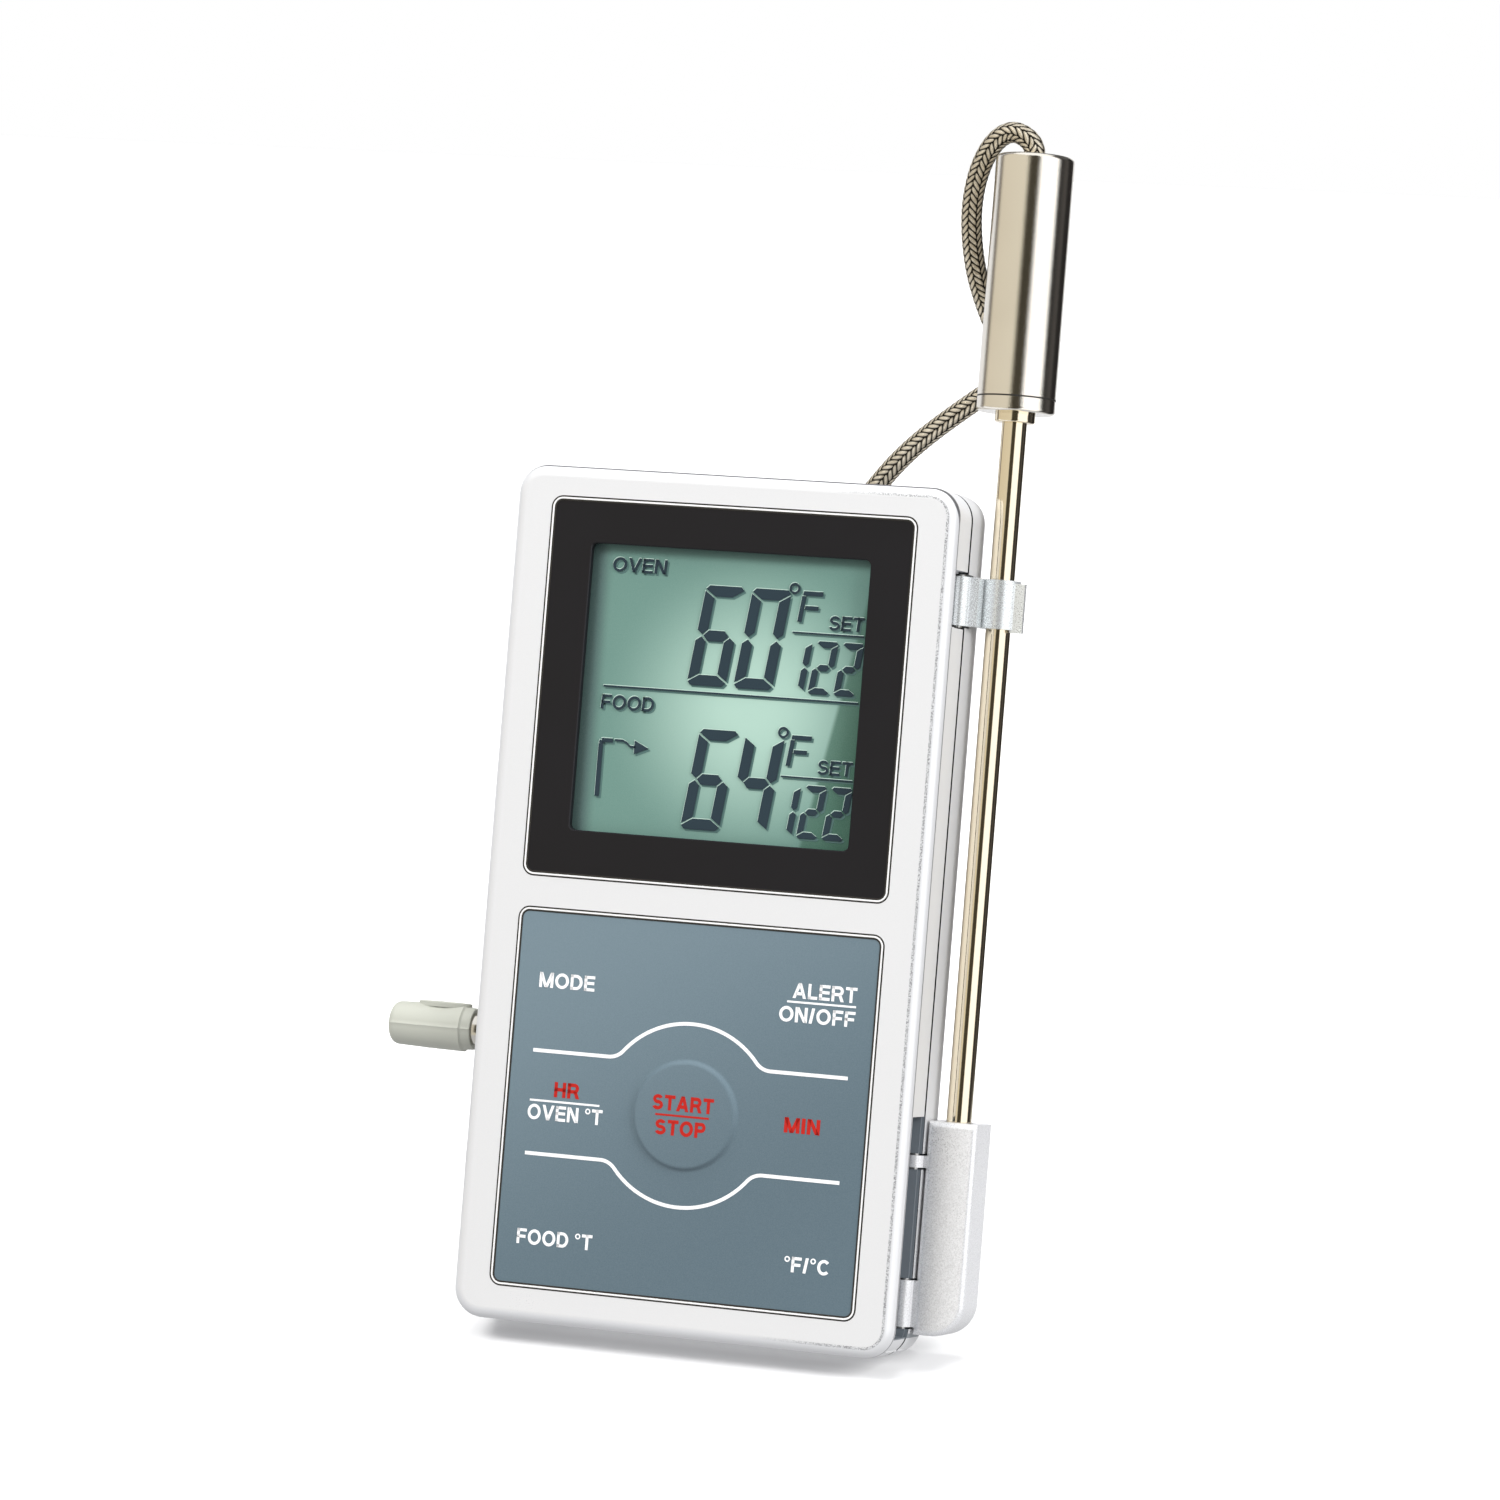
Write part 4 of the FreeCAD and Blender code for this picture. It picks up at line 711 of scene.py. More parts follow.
def make_display():
    """The black-edged plate, and the reflector behind its opening."""
    window = rounded_outline(*PLATE_X, *DISPLAY_Z, PLATE_CORNER)
    view = rounded_outline(*VIEW_X, *VIEW_Z, LCD_CORNER)
    mask = make_piece("display_mask", frame_ring(window, view, MASK_FRONT, MASK_BACK, MASK_EDGE),
                      "case", "mask", sharp=SHARP)
    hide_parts("display_window")
    outline = rounded_outline(*LCD_X, *LCD_Z, LCD_CORNER)
    rings = [[(x, LCD_FACE + back, z) for x, z in inset(outline, edge)]
             for back, edge in ((0.5, 0.0), (0.1, 0.0), (0.0, 0.1))]
    make_piece("display_face", stacked_rings(rings), "case", "lcd", sharp=SHARP)


def bar(points, front, thickness):
    """A flat polygon in the x-z plane as a thin solid."""
    turn = sum(x0 * z1 - x1 * z0 for (x0, z0), (x1, z1) in zip(points, points[1:] + points[:1]))
    if turn < 0.0:
        points = points[::-1]
    return stacked_rings([[(x, y, z) for x, z in points] for y in (front + thickness, front)])


def digit_bars(digit, x, z, width, height, stroke, gap):
    """The lit bars of a seven-bar digit whose lower left corner is at (x, z)."""
    half = height / 2.0
    corner = 0.34 * stroke
    inner = stroke + gap * 0.4
    tip = stroke * 0.55 + gap
    end = stroke + gap
    low = half - stroke / 2.0
    high = half + stroke / 2.0
    level = [(corner, 0.0), (width - corner, 0.0), (width - 0.04 * stroke, corner),
             (width - inner, stroke), (inner, stroke), (0.04 * stroke, corner)]
    side = [(0.0, corner + gap * 1.4), (stroke, stroke + gap * 1.4), (stroke, low - gap * 0.6),
            (stroke / 2.0, half - gap * 0.9), (0.0, low)]
    middle = [(tip, half), (end, high), (width - end, high), (width - tip, half),
              (width - end, low), (end, low)]
    # Each bar's outline, and whether it is mirrored across and upside down.
    shapes = {"d": (level, 0, 0), "a": (level, 0, 1), "e": (side, 0, 0), "f": (side, 0, 1),
              "c": (side, 1, 0), "b": (side, 1, 1), "g": (middle, 0, 0)}
    lit = []
    for name in BARS_OF_DIGIT[digit]:
        outline, across, down = shapes[name]
        lit.append([(x + (width - px if across else px), z + (height - pz if down else pz))
                    for px, pz in outline])
    return lit


def box_bar(x0, x1, z0, z1):
    return [(x0, z0), (x1, z0), (x1, z1), (x0, z1)]


def arc_bars(centre, radii, half, first, last, steps):
    """Short pieces along an ellipse's arc between two angles in degrees."""
    pieces = []
    for step in range(steps):
        turns = [math.radians(first + (last - first) * (step + more) / steps) for more in (0, 1)]
        outer, inner = [[(centre[0] + (radii[0] + side) * math.cos(turn),
                          centre[1] + (radii[1] + side) * math.sin(turn)) for turn in turns]
                        for side in (half, -half)]
        pieces.append([*outer, *reversed(inner)])
    return pieces


def stroke_bars(points, width):
    """A bar along each run of a line, with joints left overlapping."""
    shapes = []
    for (x0, z0), (x1, z1) in zip(points, points[1:]):
        reach = width / 2.0 / math.hypot(x1 - x0, z1 - z0)
        nx = -(z1 - z0) * reach
        nz = (x1 - x0) * reach
        shapes.append([(x0 + nx, z0 + nz), (x0 - nx, z0 - nz), (x1 - nx, z1 - nz),
                       (x1 + nx, z1 + nz)])
    return shapes


def leaning(shapes, foot):
    """Shapes slanted as the display's characters are, about their foot."""
    return [[(x + SLANT * (z - foot), z) for x, z in points] for points in shapes]


def row_bars(base, number):
    """One half of the display: two large digits, the unit, and the set value below it."""
    digits = []
    for place, digit in enumerate(number):
        digits += digit_bars(digit, LARGE_LEFT[number] + LARGE_PITCH * place, base, *LARGE_DIGIT)
    for place, digit in enumerate("122"):
        digits += digit_bars(digit, SMALL_LEFT + SMALL_PITCH * place, base - 0.1, *SMALL_DIGIT)
    unit = [box_bar(x0, x1, base + z0, base + z1) for x0, x1, z0, z1 in (
        (10.8, 11.45, UNIT_RISE, 14.5), (10.9, 14.0, 14.6, 15.25), (11.6, 13.7, 12.45, 13.05))]
    degree = arc_bars((DEGREE_X, base + DEGREE_RISE), (DEGREE_RADIUS, DEGREE_RADIUS),
                      DEGREE_HALF, 0, 360, 20)
    rule = box_bar(10.2, 21.5, base + 8.85, base + 9.08)
    return [*leaning(digits, base), *degree, *leaning(unit, base + UNIT_RISE), rule]


def icon_bars():
    """The bent probe with its lead and an arrowhead."""
    return [box_bar(-19.15, -18.45, 80.3, 88.3), box_bar(-18.2, -16.9, 88.55, 89.15),
            *stroke_bars([(-18.8, 88.3), (-18.65, 88.75), (-18.2, 88.85)], 0.7),
            *stroke_bars([(-16.6, 88.95), (-15.3, 88.95), (-14.6, 88.6), (-14.15, 88.15),
                          (-13.2, 88.05)], 0.3),
            [(-13.4, 87.0), (-11.1, 88.0), (-13.4, 89.1)]]


def glyph_parts(letter, w):
    """The width of a capital one unit high, and its shapes: plain strokes w thick."""
    half = w / 2.0

    def upright(x):
        return [box_bar(x - half, x + half, 0.0, 1.0)]

    def level(x0, x1, z):
        return [box_bar(x0, x1, z - half, z + half)]

    def slope(x0, z0, x1, z1):
        reach = half * math.hypot(x1 - x0, z1 - z0) / abs(z1 - z0)
        return [[(x0 - reach, z0), (x0 + reach, z0), (x1 + reach, z1), (x1 - reach, z1)]]

    def curve(cx, cz, rx, rz, first, last, steps=22, reach=half):
        return arc_bars((cx, cz), (rx, rz), reach, first, last, steps)

    top = 1.0 - half
    waist = 0.515
    fold = 0.46
    bowl = ((top + fold) / 2.0, (top - fold) / 2.0)
    upper = ((top + waist) / 2.0, (top - waist) / 2.0)
    lower = ((half + waist) / 2.0, (waist - half) / 2.0)
    stem = upright(half)
    letters = {
        "A": (0.90, slope(half, 0, 0.45, 1) + slope(0.90 - half, 0, 0.45, 1)
              + level(0.2, 0.7, 0.30)),
        "C": (0.86, curve(0.44, 0.5, 0.44 - half, 0.5 - half, 42, 318)),
        "D": (0.82, stem + level(0, 0.40, top) + level(0, 0.40, half)
              + curve(0.38, 0.5, 0.44 - half, 0.5 - half, -90, 90)),
        "E": (0.72, stem + level(0, 0.72, top) + level(0, 0.68, waist)
              + level(0, 0.72, half)),
        "F": (0.68, stem + level(0, 0.68, top) + level(0, 0.62, waist - 0.03)),
        "H": (0.80, stem + upright(0.80 - half) + level(0, 0.80, waist)),
        "I": (w, stem),
        "L": (0.64, stem + level(0, 0.64, half)),
        "M": (0.96, stem + upright(0.96 - half) + slope(half, 1, 0.48, 0)
              + slope(0.96 - half, 1, 0.48, 0)),
        "N": (0.80, stem + upright(0.80 - half)
              + slope(half * 1.3, 1, 0.80 - half * 1.3, 0)),
        "O": (0.94, curve(0.47, 0.5, 0.47 - half, 0.51 - half, 0, 360, 40)),
        "P": (0.76, stem + level(0, 0.46, top) + level(0, 0.46, fold)
              + curve(0.46, bowl[0], 0.30 - half, bowl[1], -90, 90)),
        "R": (0.82, stem + level(0, 0.48, top) + level(0, 0.50, fold)
              + curve(0.48, bowl[0], 0.31 - half, bowl[1], -90, 90)
              + slope(0.54, fold, 0.80 - half * 0.6, 0)),
        "S": (0.78, curve(0.39, upper[0], 0.36 - half, upper[1], 22, 270)
              + curve(0.39, lower[0], 0.39 - half, lower[1], 90, -158)),
        "T": (0.76, upright(0.38) + level(0, 0.76, top)),
        "V": (0.86, slope(half, 1, 0.43, 0) + slope(0.86 - half, 1, 0.43, 0)),
        "/": (0.36, slope(half, 0, 0.36 - half, 1)),
        "\u00b0": (0.38, curve(0.19, 0.83, 0.145, 0.145, 0, 360, 24, 0.045)),
        " ": (0.24, []),
    }
    return letters[letter]


LETTER_GAP = 0.115


def text_shapes(text, x0, x1, z0, height, weight, slant=0.0):
    """A word's shapes, fitted into a box in the x-z plane."""
    glyphs = [glyph_parts(letter, weight) for letter in text]
    total = sum(width for width, _ in glyphs) + LETTER_GAP * (len(text) - 1)
    stretch = (x1 - x0) / total
    shapes = []
    start = 0.0
    for width, parts in glyphs:
        for shape in parts:
            shapes.append([(x0 + (start + x) * stretch + slant * z * height, z0 + z * height)
                           for x, z in shape])
        start += width + LETTER_GAP
    return shapes


def make_segments():
    """The characters thrice: a painted pale halo, their painted shadow, and themselves."""
    shapes = [shape for base, number in zip(ROW_BASES, LARGE_LEFT)
              for shape in row_bars(base, number)]
    shapes += icon_bars()
    shapes.append(box_bar(-19.1, 21.4, 96.93, 97.18))
    for word, x0, x1, z0 in (("OVEN", -19.2, -10.6, 114.5), ("FOOD", -19.3, -10.9, 93.6),
                             ("SET", 15.8, 21.2, 107.75), ("SET", 15.8, 21.2, 86.05)):
        shapes += text_shapes(word, x0, x1, z0, WORD_HEIGHT, 0.17, SLANT * 0.5)
    # The halo copy is a painted highlight and the shadow copy a painted shadow, both flat colour.
    for name, look, lift, dx, dz in (("display_halo", "halo", 0.10, -0.09, 0.11),
                                     ("display_shadows", "ghost", 0.05, 0.30, -0.30),
                                     ("display_segments", "segment", 0.20, 0.0, 0.0)):
        parts = [bar([(x + dx, z + dz) for x, z in points], LCD_FACE - lift, 0.03)
                 for points in shapes]
        make_piece(name, joined(parts), "case", look, smooth=False)


def make_rims():
    """Round each plate, a narrow bead painted pale as a highlight, in a groove of painted shade.
    """
    for plate, ends in (("display", DISPLAY_Z), ("keypad", KEYPAD_Z)):
        # Groove: near-black painted shade. Bead: real, its pale silver a painted highlight.
        for part, look, first, last, front in (("_groove", "gap_shade", -0.16, 0.62, -0.03),
                                               ("_rim", "rim", 0.11, 0.37, -0.10)):
            outer, inner = [rounded_outline(PLATE_X[0] - out, PLATE_X[1] + out, ends[0] - out,
                                            ends[1] + out, PLATE_CORNER + out)
                            for out in (last, first)]
            make_piece(plate + part, frame_ring(outer, inner, front, 0.04, 0.03), "case", look,
                       sharp=SHARP)


make_display()
make_segments()
make_rims()


# ---- keypad

FILM_FRONT = 0.05
FILM_BACK = 0.5
FILM_CORNER = 1.2
FILM_SHARP = 50.0
FILM_SPACING = 0.5
DOME_SPACING = 0.2
DOME_RADIUS = 8.4
DOME_RISE = 0.55
DOME_SHOULDER = 0.65
DOME_CROWN = 0.10
INK = FILM_FRONT - 0.03
INK_THICKNESS = 0.02
CAPITAL = 2.3
WHITE_WEIGHT = 0.195
RED_WEIGHT = 0.225
RULE_WIDTH = 0.30
RULE_STEP = 0.8
BAND_WIDTH = 0.55
BAND_START = -25.0
BAND_RADIUS = 13.8
BAND_FILLET = 3.0
BAND_STEPS = 8
ARC_STEPS = 24
LEFT, MIDDLE_LEFT, MIDDLE_RIGHT, RIGHT = (-28.5, -9.75, 9.75, 28.5)
ROW_EDGES = (5.8, 23.2, 42.6, 62.3)
# Each key's middle, the ends of the piece of film over it, and its row from the bottom.
KEYS = {
    "mode_key": (-19.5, 51.8, (LEFT, 0.0), 2),
    "alert_key": (19.5, 51.8, (0.0, RIGHT), 2),
    "hour_key": (-19.5, 33.4, (LEFT, MIDDLE_LEFT), 1),
    "start_stop_key": (0.0, 33.4, (MIDDLE_LEFT, MIDDLE_RIGHT), 1),
    "minute_key": (19.5, 33.4, (MIDDLE_RIGHT, RIGHT), 1),
    "food_key": (-19.5, 12.9, (LEFT, 0.0), 0),
    "unit_key": (19.5, 12.9, (0.0, RIGHT), 0),
}
DOME_Z = KEYS["start_stop_key"][1]


def film_height(x, z):
    """How far the film's front stands out in front of the plate's plane."""
    distance = math.hypot(x, z - DOME_Z)
    edge = smooth_step(DOME_RADIUS, DOME_RADIUS - DOME_SHOULDER, distance)
    return DOME_RISE * edge + DOME_CROWN * max(0.0, 1.0 - (distance / DOME_RADIUS) ** 2)


def in_rounded_film(x, z):
    """Pull a corner point of the film back onto its rounded corner."""
    centre_x = min(max(x, PLATE_X[0] + FILM_CORNER), PLATE_X[1] - FILM_CORNER)
    centre_z = min(max(z, KEYPAD_Z[0] + FILM_CORNER), KEYPAD_Z[1] - FILM_CORNER)
    dx = x - centre_x
    dz = z - centre_z
    distance = math.hypot(dx, dz)
    if dx and dz and distance > FILM_CORNER:
        return centre_x + dx * FILM_CORNER / distance, centre_z + dz * FILM_CORNER / distance
    return x, z


def follow_key(made):
    """Bake a piece's place into its points, leaving it free."""
    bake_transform(made)


def film_patch(name):
    """The piece of film over a key: a closed sheet whose rim follows the plate's corners."""
    (x0, x1), row = KEYS[name][2:]
    z0, z1 = ROW_EDGES[row:row + 2]
    spacing = DOME_SPACING if name == "start_stop_key" else FILM_SPACING
    columns = round((x1 - x0) / spacing)
    rows = round((z1 - z0) / spacing)
    grid = [in_rounded_film(x0 + (x1 - x0) * across / columns, z0 + (z1 - z0) * up / rows)
            for up in range(rows + 1) for across in range(columns + 1)]
    points = [(x, FILM_FRONT - film_height(x, z), z) for x, z in grid]
    points += [(x, FILM_BACK - film_height(x, z) * 0.9, z) for x, z in grid]
    count = len(grid)
    width = columns + 1
    faces = []
    for up in range(rows):
        for across in range(columns):
            first = up * width + across
            quad = (first, first + 1, first + 1 + width, first + width)
            faces += [quad, tuple(count + index for index in reversed(quad))]
    rim = [*range(columns), *(up * width + columns for up in range(rows)),
           *(rows * width + columns - across for across in range(columns)),
           *((rows - up) * width for up in range(rows))]
    for index, following in zip(rim, rim[1:] + rim[:1]):
        faces.append((following, index, count + index, count + following))
    made = make_piece("film_over_" + name, (points, faces), None, "film",
                      sharp=FILM_SHARP)
    follow_key(made)
    return made


def print_on(name, key, look, parts):
    """Printed marks that lie on the film, raised by the film's own height under them."""
    points, faces = joined(parts)
    laid = [(x, y - film_height(x, z), z) for x, y, z in points]
    made = make_piece(name, (laid, faces), None if key else "case", look,
                      smooth=False)
    if key:
        follow_key(made)


def word(text, x0, x1, z0, weight=WHITE_WEIGHT):
    return [bar(shape, INK, INK_THICKNESS)
            for shape in text_shapes(text, x0, x1, z0, CAPITAL, weight)]


def rule(x0, x1, z):
    steps = max(1, round((x1 - x0) / RULE_STEP))
    marks = [x0 + (x1 - x0) * step / steps for step in range(steps + 1)]
    return [bar(box_bar(first, second, z, z + RULE_WIDTH), INK, INK_THICKNESS)
            for first, second in zip(marks, marks[1:])]


def band_path(level, up):
    """The line that runs level, climbs round the middle key and runs level again."""
    offset = abs(level - DOME_Z) + BAND_FILLET
    fillet_x = math.sqrt((BAND_RADIUS + BAND_FILLET) ** 2 - offset ** 2)
    meeting = math.atan2(offset, fillet_x)
    sweep = math.pi / 2.0 - meeting
    half = [(BAND_START, level)]
    for step in range(BAND_STEPS + 1):
        angle = -math.pi / 2.0 + sweep * step / BAND_STEPS
        half.append((-fillet_x + BAND_FILLET * math.cos(angle),
                     DOME_Z + up * (offset + BAND_FILLET * math.sin(angle))))
    for step in range(1, ARC_STEPS + 1):
        angle = math.pi - meeting - sweep * step / ARC_STEPS
        half.append((BAND_RADIUS * math.cos(angle), DOME_Z + up * BAND_RADIUS * math.sin(angle)))
    return half + [(-x, z) for x, z in reversed(half[:-1])]


def ribbon_along(path, width):
    """A thin flat strip of even width along a path."""
    rings = []
    for index, (x, z) in enumerate(path):
        before = path[max(index - 1, 0)]
        after = path[min(index + 1, len(path) - 1)]
        dx = after[0] - before[0]
        dz = after[1] - before[1]
        reach = width / 2.0 / math.hypot(dx, dz)
        left = (x - dz * reach, z + dx * reach)
        right = (x + dz * reach, z - dx * reach)
        rings.append([(side[0], depth, side[1]) for side, depth in (
            (left, INK), (right, INK), (right, INK + INK_THICKNESS),
            (left, INK + INK_THICKNESS))])
    return stacked_rings(rings)


def make_keypad():
    patches = [film_patch(name) for name in KEYS]
    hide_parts("keypad_film")
    bands = [ribbon_along(band_path(41.2, 1.0), BAND_WIDTH),
             ribbon_along(band_path(25.6, -1.0), BAND_WIDTH)]
    # Words and rules are given by their left and right ends and their foot.
    for name, key, look, parts in (
            ("mode", "mode_key", "white_print", word("MODE", -24.9, -16.0, 50.75)),
            ("alert", "alert_key", "white_print", word("ALERT", 15.4, 25.4, 52.45)
             + rule(14.6, 25.4, 51.72) + word("ON/OFF", 13.5, 25.4, 48.85)),
            ("hour", "hour_key", "red_print", word("HR", -21.1, -17.1, 34.35, RED_WEIGHT)),
            ("oven", "hour_key", "white_print", rule(-24.9, -13.7, 33.50)
             + word("OVEN \u00b0T", -25.1, -13.1, 30.75)),
            ("start_stop", "start_stop_key", "red_print",
             word("START", -5.1, 4.6, 34.0, RED_WEIGHT) + rule(-4.5, 4.0, 33.15)
             + word("STOP", -4.4, 3.6, 30.3, RED_WEIGHT)),
            ("minute", "minute_key", "red_print", word("MIN", 15.7, 21.3, 32.35, RED_WEIGHT)),
            ("food", "food_key", "white_print", word("FOOD \u00b0T", -25.2, -13.1, 11.85)),
            ("unit", "unit_key", "white_print", word("\u00b0F/\u00b0C", 17.4, 24.6, 11.7)),
            ("bands", None, "white_print", bands)):
        print_on("print_" + name, key, look, parts)


make_keypad()


# ---- plug and handle

JACK = (-38.8, 9.0, 43.2)
PLUG_SHARP = 40.0
SEAM = 0.14
# Turned profiles: distance along the axis and radius.
BARREL = [(-0.70, 2.5), (-0.95, 2.8), (-0.95, 3.08), (-0.8, 3.20), (0.3, 3.28), (0.5, 3.38),
          (0.7, 3.60), (6.5, 3.50)]
BARREL_END = (12.6, 3.32, 1.25)
BARREL_HOLLOW = (12.6, 0.4)
FERRULE = [(-0.6, 2.0), (-0.6, 2.46), (-2.0, 2.46), (-2.3, 2.3), (-2.6, 2.0), (-2.6, 1.76)]
BOOT_START = (-45.4, 9.0, 43.2)
BOOT_RIBS = 5
BOOT_RIB_PITCH = 2.35
BOOT_RIB_DEPTH = 0.6
BOOT_TIP = [(16.4, 2.0), (17.0, 1.7)]
REST_X = -43.1
REST_HALF = (4.3, 2.2)
REST_RINGS = ((1.0, 3.00), (1.0, 3.66), (0.95, 3.76), (0.84, 3.78), (0.78, 3.64))
REST_POINTS = 36
HANDLE_FOOT = (38.8, 13.6, 144.86)
HANDLE_JOINT = [(0.0, 5.2), (0.0, 5.965), (0.24, 5.965), (0.24, 5.2)]


def lathe(profile, centre, axis, around=40, ridge=None):
    """A turned shape from (distance along the axis, radius) points; ridge is a seam's side."""
    direction = Vector(axis)
    side = Vector(ridge) if ridge else direction.orthogonal().normalized()
    across = direction.cross(side)
    rings = []
    for along, radius in profile:
        ring = []
        for step in range(around):
            angle = TURN * step / around
            seam = SEAM if ridge and step == 0 and radius > 1.0 else 0.0
            ring.append(Vector(centre) + direction * along
                        + (side * math.cos(angle) + across * math.sin(angle)) * (radius + seam))
        rings.append(ring)
    return stacked_rings(rings)


def rounded_end(length, radius, corner, steps=7):
    """Profile points that round the far end of a turned shape."""
    turns = [math.pi / 2.0 * step / steps for step in range(steps + 1)]
    return [(length - corner + corner * math.sin(turn), radius - corner + corner * math.cos(turn))
            for turn in turns]


def make_plug():
    """A right-angled plug: barrel with neck, parting ridge, oval thumb rest and boot."""
    barrel = BARREL + rounded_end(*BARREL_END) + [BARREL_HOLLOW]
    boot = [(0.0, 3.0), (3.2, 3.0)]
    for number in range(BOOT_RIBS):
        start = 4.4 + BOOT_RIB_PITCH * number
        outer = 2.95 - 0.2 * number
        boot += [(start, outer - BOOT_RIB_DEPTH), (start + 0.25, outer),
                 (start + 1.35, outer - 0.06), (start + 1.6, outer - BOOT_RIB_DEPTH)]
    turns = [TURN * step / REST_POINTS for step in range(REST_POINTS)]
    rest = [[(REST_X + REST_HALF[0] * share * math.cos(turn),
              JACK[1] + REST_HALF[1] * share * math.sin(turn), JACK[2] + height)
             for turn in turns] for share, height in REST_RINGS]
    parts = [lathe(barrel, JACK, (-1.0, 0.0, 0.0), 72, ridge=(0.0, -1.0, 0.0)),
             lathe(boot + BOOT_TIP, BOOT_START, (0.0, 1.0, 0.0), 32), stacked_rings(rest)]
    plug = make_piece("plug_moulding", joined(parts), "plug", "plug",
                      sharp=PLUG_SHARP)
    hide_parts("plug_body")
    make_piece("plug_ferrule", lathe(FERRULE, JACK, (-1.0, 0.0, 0.0)), "plug", "nickel",
               sharp=PLUG_SHARP)
    return plug


PLUG = make_plug()
# A dark ring of painted shade in the gap where the handle's tube meets its base.
make_piece("handle_joint", lathe(HANDLE_JOINT, HANDLE_FOOT, (0.0, 0.0, 1.0), 96), "probe",
           "gap_shade", sharp=SHARP)


# ---- tie round the coil

TIE_ANGLE = math.radians(-60.0)
TIE_RADIUS = 17.6
TIE_HEIGHT = 5.3
# The strap's section: along the coil and outwards.
STRAP = ((-1.6, 0.0), (-0.45, 0.08), (0.0, 0.22), (0.45, 0.08), (1.6, 0.0), (1.6, -0.12),
         (-1.6, -0.12))
TWIST_STEPS = 25
TWIST_TURN = 0.55
TWIST_RISE = 0.28
TWIST_RADIUS = 0.45
TWIST_SECTION = ((0.0, 0.35), (1.57, 0.8), (3.14, 0.35), (4.71, 0.8))


def make_tie():
    """A coated wire tie: a strap round the coil's section and its two ends twisted."""
    outwards = Vector((math.cos(TIE_ANGLE), math.sin(TIE_ANGLE), 0.0))
    along = Vector((-math.sin(TIE_ANGLE), math.cos(TIE_ANGLE), 0.0))
    up = Vector((0.0, 0.0, 1.0))
    middle = Vector((*COIL_CENTRE, TIE_HEIGHT)) + outwards * TIE_RADIUS
    rings = []
    for x, z in rounded_outline(-3.5, 3.5, -5.15, 5.15, 1.6, 6):
        reach = outwards * x + up * z
        rings.append([middle + reach + along * width + reach.normalized() * rise
                      for width, rise in STRAP])
    parts = [stacked_rings(rings + rings[:1], False)]
    start = middle + outwards * 3.3 + up * 4.6
    direction = (outwards + up * 0.55).normalized()
    side = direction.cross(along).normalized()
    for phase in (0.0, math.pi):
        twist = []
        for step in range(TWIST_STEPS):
            turn = phase + step * TWIST_TURN
            centre = start + direction * (step * TWIST_RISE) + (
                along * math.cos(turn) + side * math.sin(turn)) * TWIST_RADIUS
            twist.append([centre + (along * math.cos(turn + corner)
                                    + side * math.sin(turn + corner)) * reach
                          for corner, reach in TWIST_SECTION])
        parts.append(stacked_rings(twist))
    tie = make_piece("coil_tie", joined(parts), "case", "tie", PART,
                     sharp=PLUG_SHARP)
    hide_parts("cable_tie")
    return tie


TIE = make_tie()


# ---- studio

FLOOR_HALF = 0.9
FLOOR_MOTTLE = 100.0 / 3.0
FLOOR_GLOW = (0.70, 0.70, 0.71)
# Compass angle in degrees, and the colour of the surroundings from there on.
STRIPS = [(-180, 0.86, 0.86, 0.88), (-112, 0.86, 0.86, 0.88), (-104, 0.20, 0.18, 0.16),
          (-97, 0.20, 0.18, 0.16), (-90, 0.70, 0.64, 0.53), (-6, 0.74, 0.69, 0.58),
          (0, 0.055, 0.048, 0.034), (31, 0.055, 0.048, 0.034), (37, 1.35, 1.35, 1.35),
          (90, 1.35, 1.35, 1.35), (96, 0.022, 0.020, 0.020), (128, 0.080, 0.075, 0.073),
          (133, 0.022, 0.020, 0.020), (162, 0.022, 0.020, 0.020), (169, 0.86, 0.86, 0.88)]
# Each soft light's place, target, size in metres and power in watts.
LIGHTS = {
    "key": ((-0.55, -0.75, 1.15), (0.0, 0.0, 0.06), 0.55, 12.5),
    "fill": ((0.95, -0.25, 0.60), (0.0, 0.0, 0.08), 0.60, 9.0),
    "top": ((0.0, 0.35, 1.30), (0.0, 0.0, 0.0), 0.80, 10.0),
}


def strips(nodes, x, y):
    """Upright strips of light and dark round the object, by compass angle."""
    azimuth = nodes.math("ARCTAN2", x, nodes.times(y, -1.0))
    ramp = nodes.add("ShaderNodeValToRGB")
    nodes.link(nodes.math("DIVIDE", nodes.plus(azimuth, math.pi), TURN), ramp.inputs["Fac"])
    elements = ramp.color_ramp.elements
    while len(elements) < len(STRIPS):
        elements.new(0.5)
    for element, (degrees, *colour) in zip(elements, STRIPS):
        element.position = (degrees + 180.0) / 360.0
        element.color = (*colour, 1.0)
    return ramp.outputs["Color"]


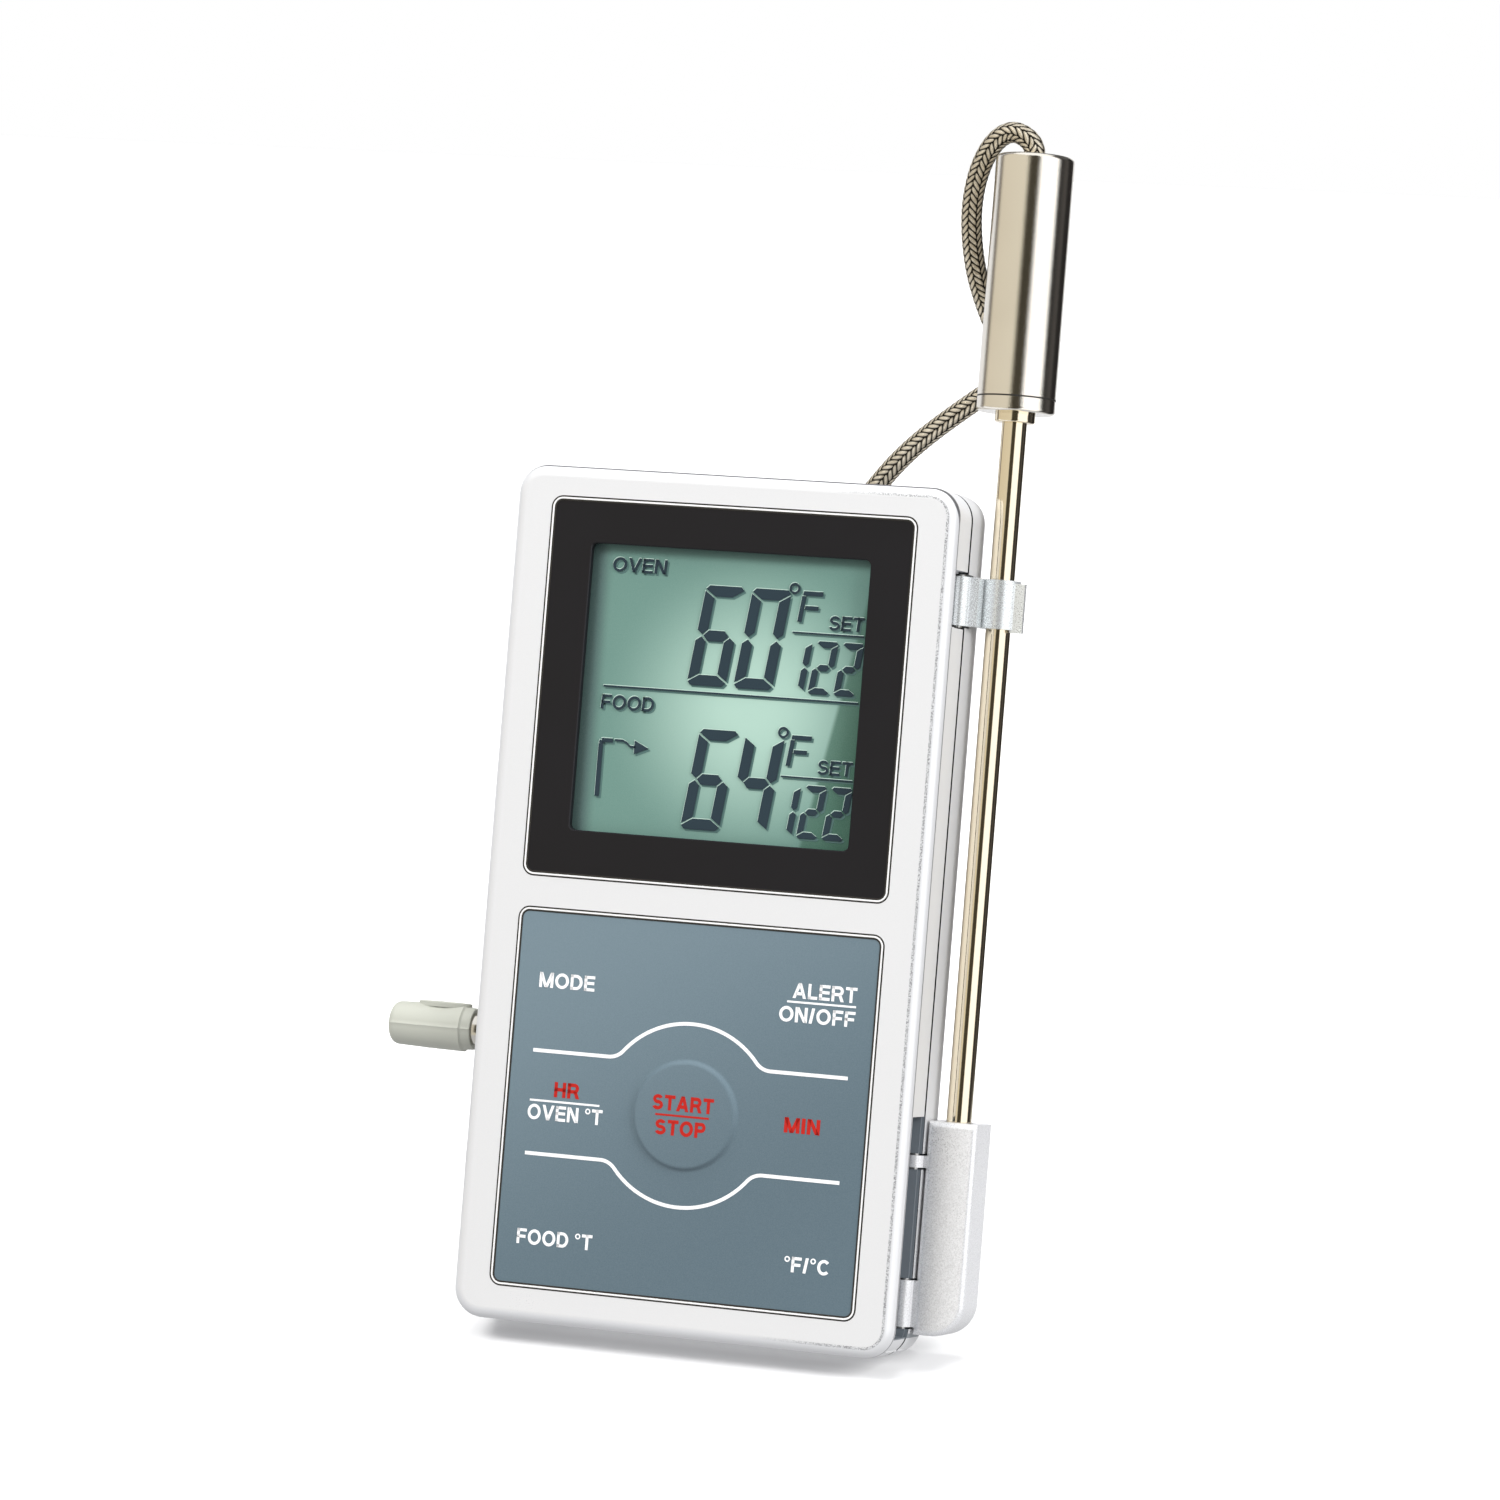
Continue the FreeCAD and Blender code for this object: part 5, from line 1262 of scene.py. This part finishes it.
def make_floor():
    """Pale paper, which mirrors show as the strips further off and diffuse rays as glowing."""
    half = FLOOR_HALF
    mesh = bpy.data.meshes.new("floor")
    mesh.from_pydata([(-half, -half, 0.0), (half, -half, 0.0), (half, half, 0.0),
                      (-half, half, 0.0)], [], [(0, 1, 2, 3)])
    floor = bpy.data.objects.new("floor", mesh)
    bpy.context.scene.collection.objects.link(floor)
    nodes = new_material("paper_floor")
    place = nodes.own_place()
    paper = nodes.mix(nodes.noise(place, FLOOR_MOTTLE), (0.93, 0.93, 0.93), (0.95, 0.95, 0.95))
    mesh.materials.append(nodes.finish(paper, 0.9, [], gloss=0.0))
    length = nodes.add("ShaderNodeVectorMath", operation="LENGTH")
    nodes.link(place, length.inputs[0])
    x, y, _ = nodes.split(place)
    mirrored = nodes.mix(nodes.ease(length.outputs["Value"], 0.10, 0.16), (0.62, 0.62, 0.63),
                         strips(nodes, x, y))
    rays = nodes.add("ShaderNodeLightPath").outputs
    surface = nodes.shader.outputs[0]
    for kind, colour in (("Is Diffuse Ray", FLOOR_GLOW), ("Is Glossy Ray", mirrored)):
        light = nodes.add("ShaderNodeEmission")
        nodes.fill(light.inputs["Color"], colour)
        choice = nodes.add("ShaderNodeMixShader")
        for socket, source in zip(choice.inputs, (rays[kind], surface, light.outputs[0])):
            nodes.link(source, socket)
        surface = choice.outputs[0]
    nodes.link(surface, nodes.output.inputs["Surface"])


def make_world():
    """White surroundings, in which only mirroring surfaces find strips and a dark rear."""
    world = bpy.data.worlds.new("studio")
    bpy.context.scene.world = world
    world.use_nodes = True
    nodes = Nodes(world.node_tree)
    x, y, z = nodes.split(nodes.add("ShaderNodeTexCoord").outputs["Generated"])
    behind = nodes.ease(y, 0.25, 0.55)
    above = nodes.ease(z, 0.16, 0.24)
    colour = nodes.mix(nodes.times(behind, above), strips(nodes, x, y), (0.10, 0.10, 0.10))
    colour = nodes.mix(nodes.ease(z, 0.72, 0.84), colour, (1.1, 1.1, 1.1))
    rays = nodes.add("ShaderNodeLightPath").outputs
    plain = nodes.mix(rays["Is Diffuse Ray"], (1.0, 1.0, 1.0), (0.68, 0.68, 0.69))
    background = nodes.add("ShaderNodeBackground")
    nodes.link(nodes.mix(rays["Is Glossy Ray"], plain, colour), background.inputs["Color"])
    output = nodes.add("ShaderNodeOutputWorld")
    nodes.link(background.outputs[0], output.inputs["Surface"])


def area_light(name, place, target, size, power):
    data = bpy.data.lights.new(name, "AREA")
    data.shape = "DISK"
    data.size = size
    data.energy = power
    light = bpy.data.objects.new(name, data)
    light.location = place
    light.rotation_euler = (Vector(target) - Vector(place)).to_track_quat("-Z", "Y").to_euler()
    light.visible_glossy = False
    bpy.context.scene.collection.objects.link(light)


make_floor()
make_world()
for name, setting in LIGHTS.items():
    area_light(name, *setting)
bpy.context.scene.view_settings.view_transform = "Standard"
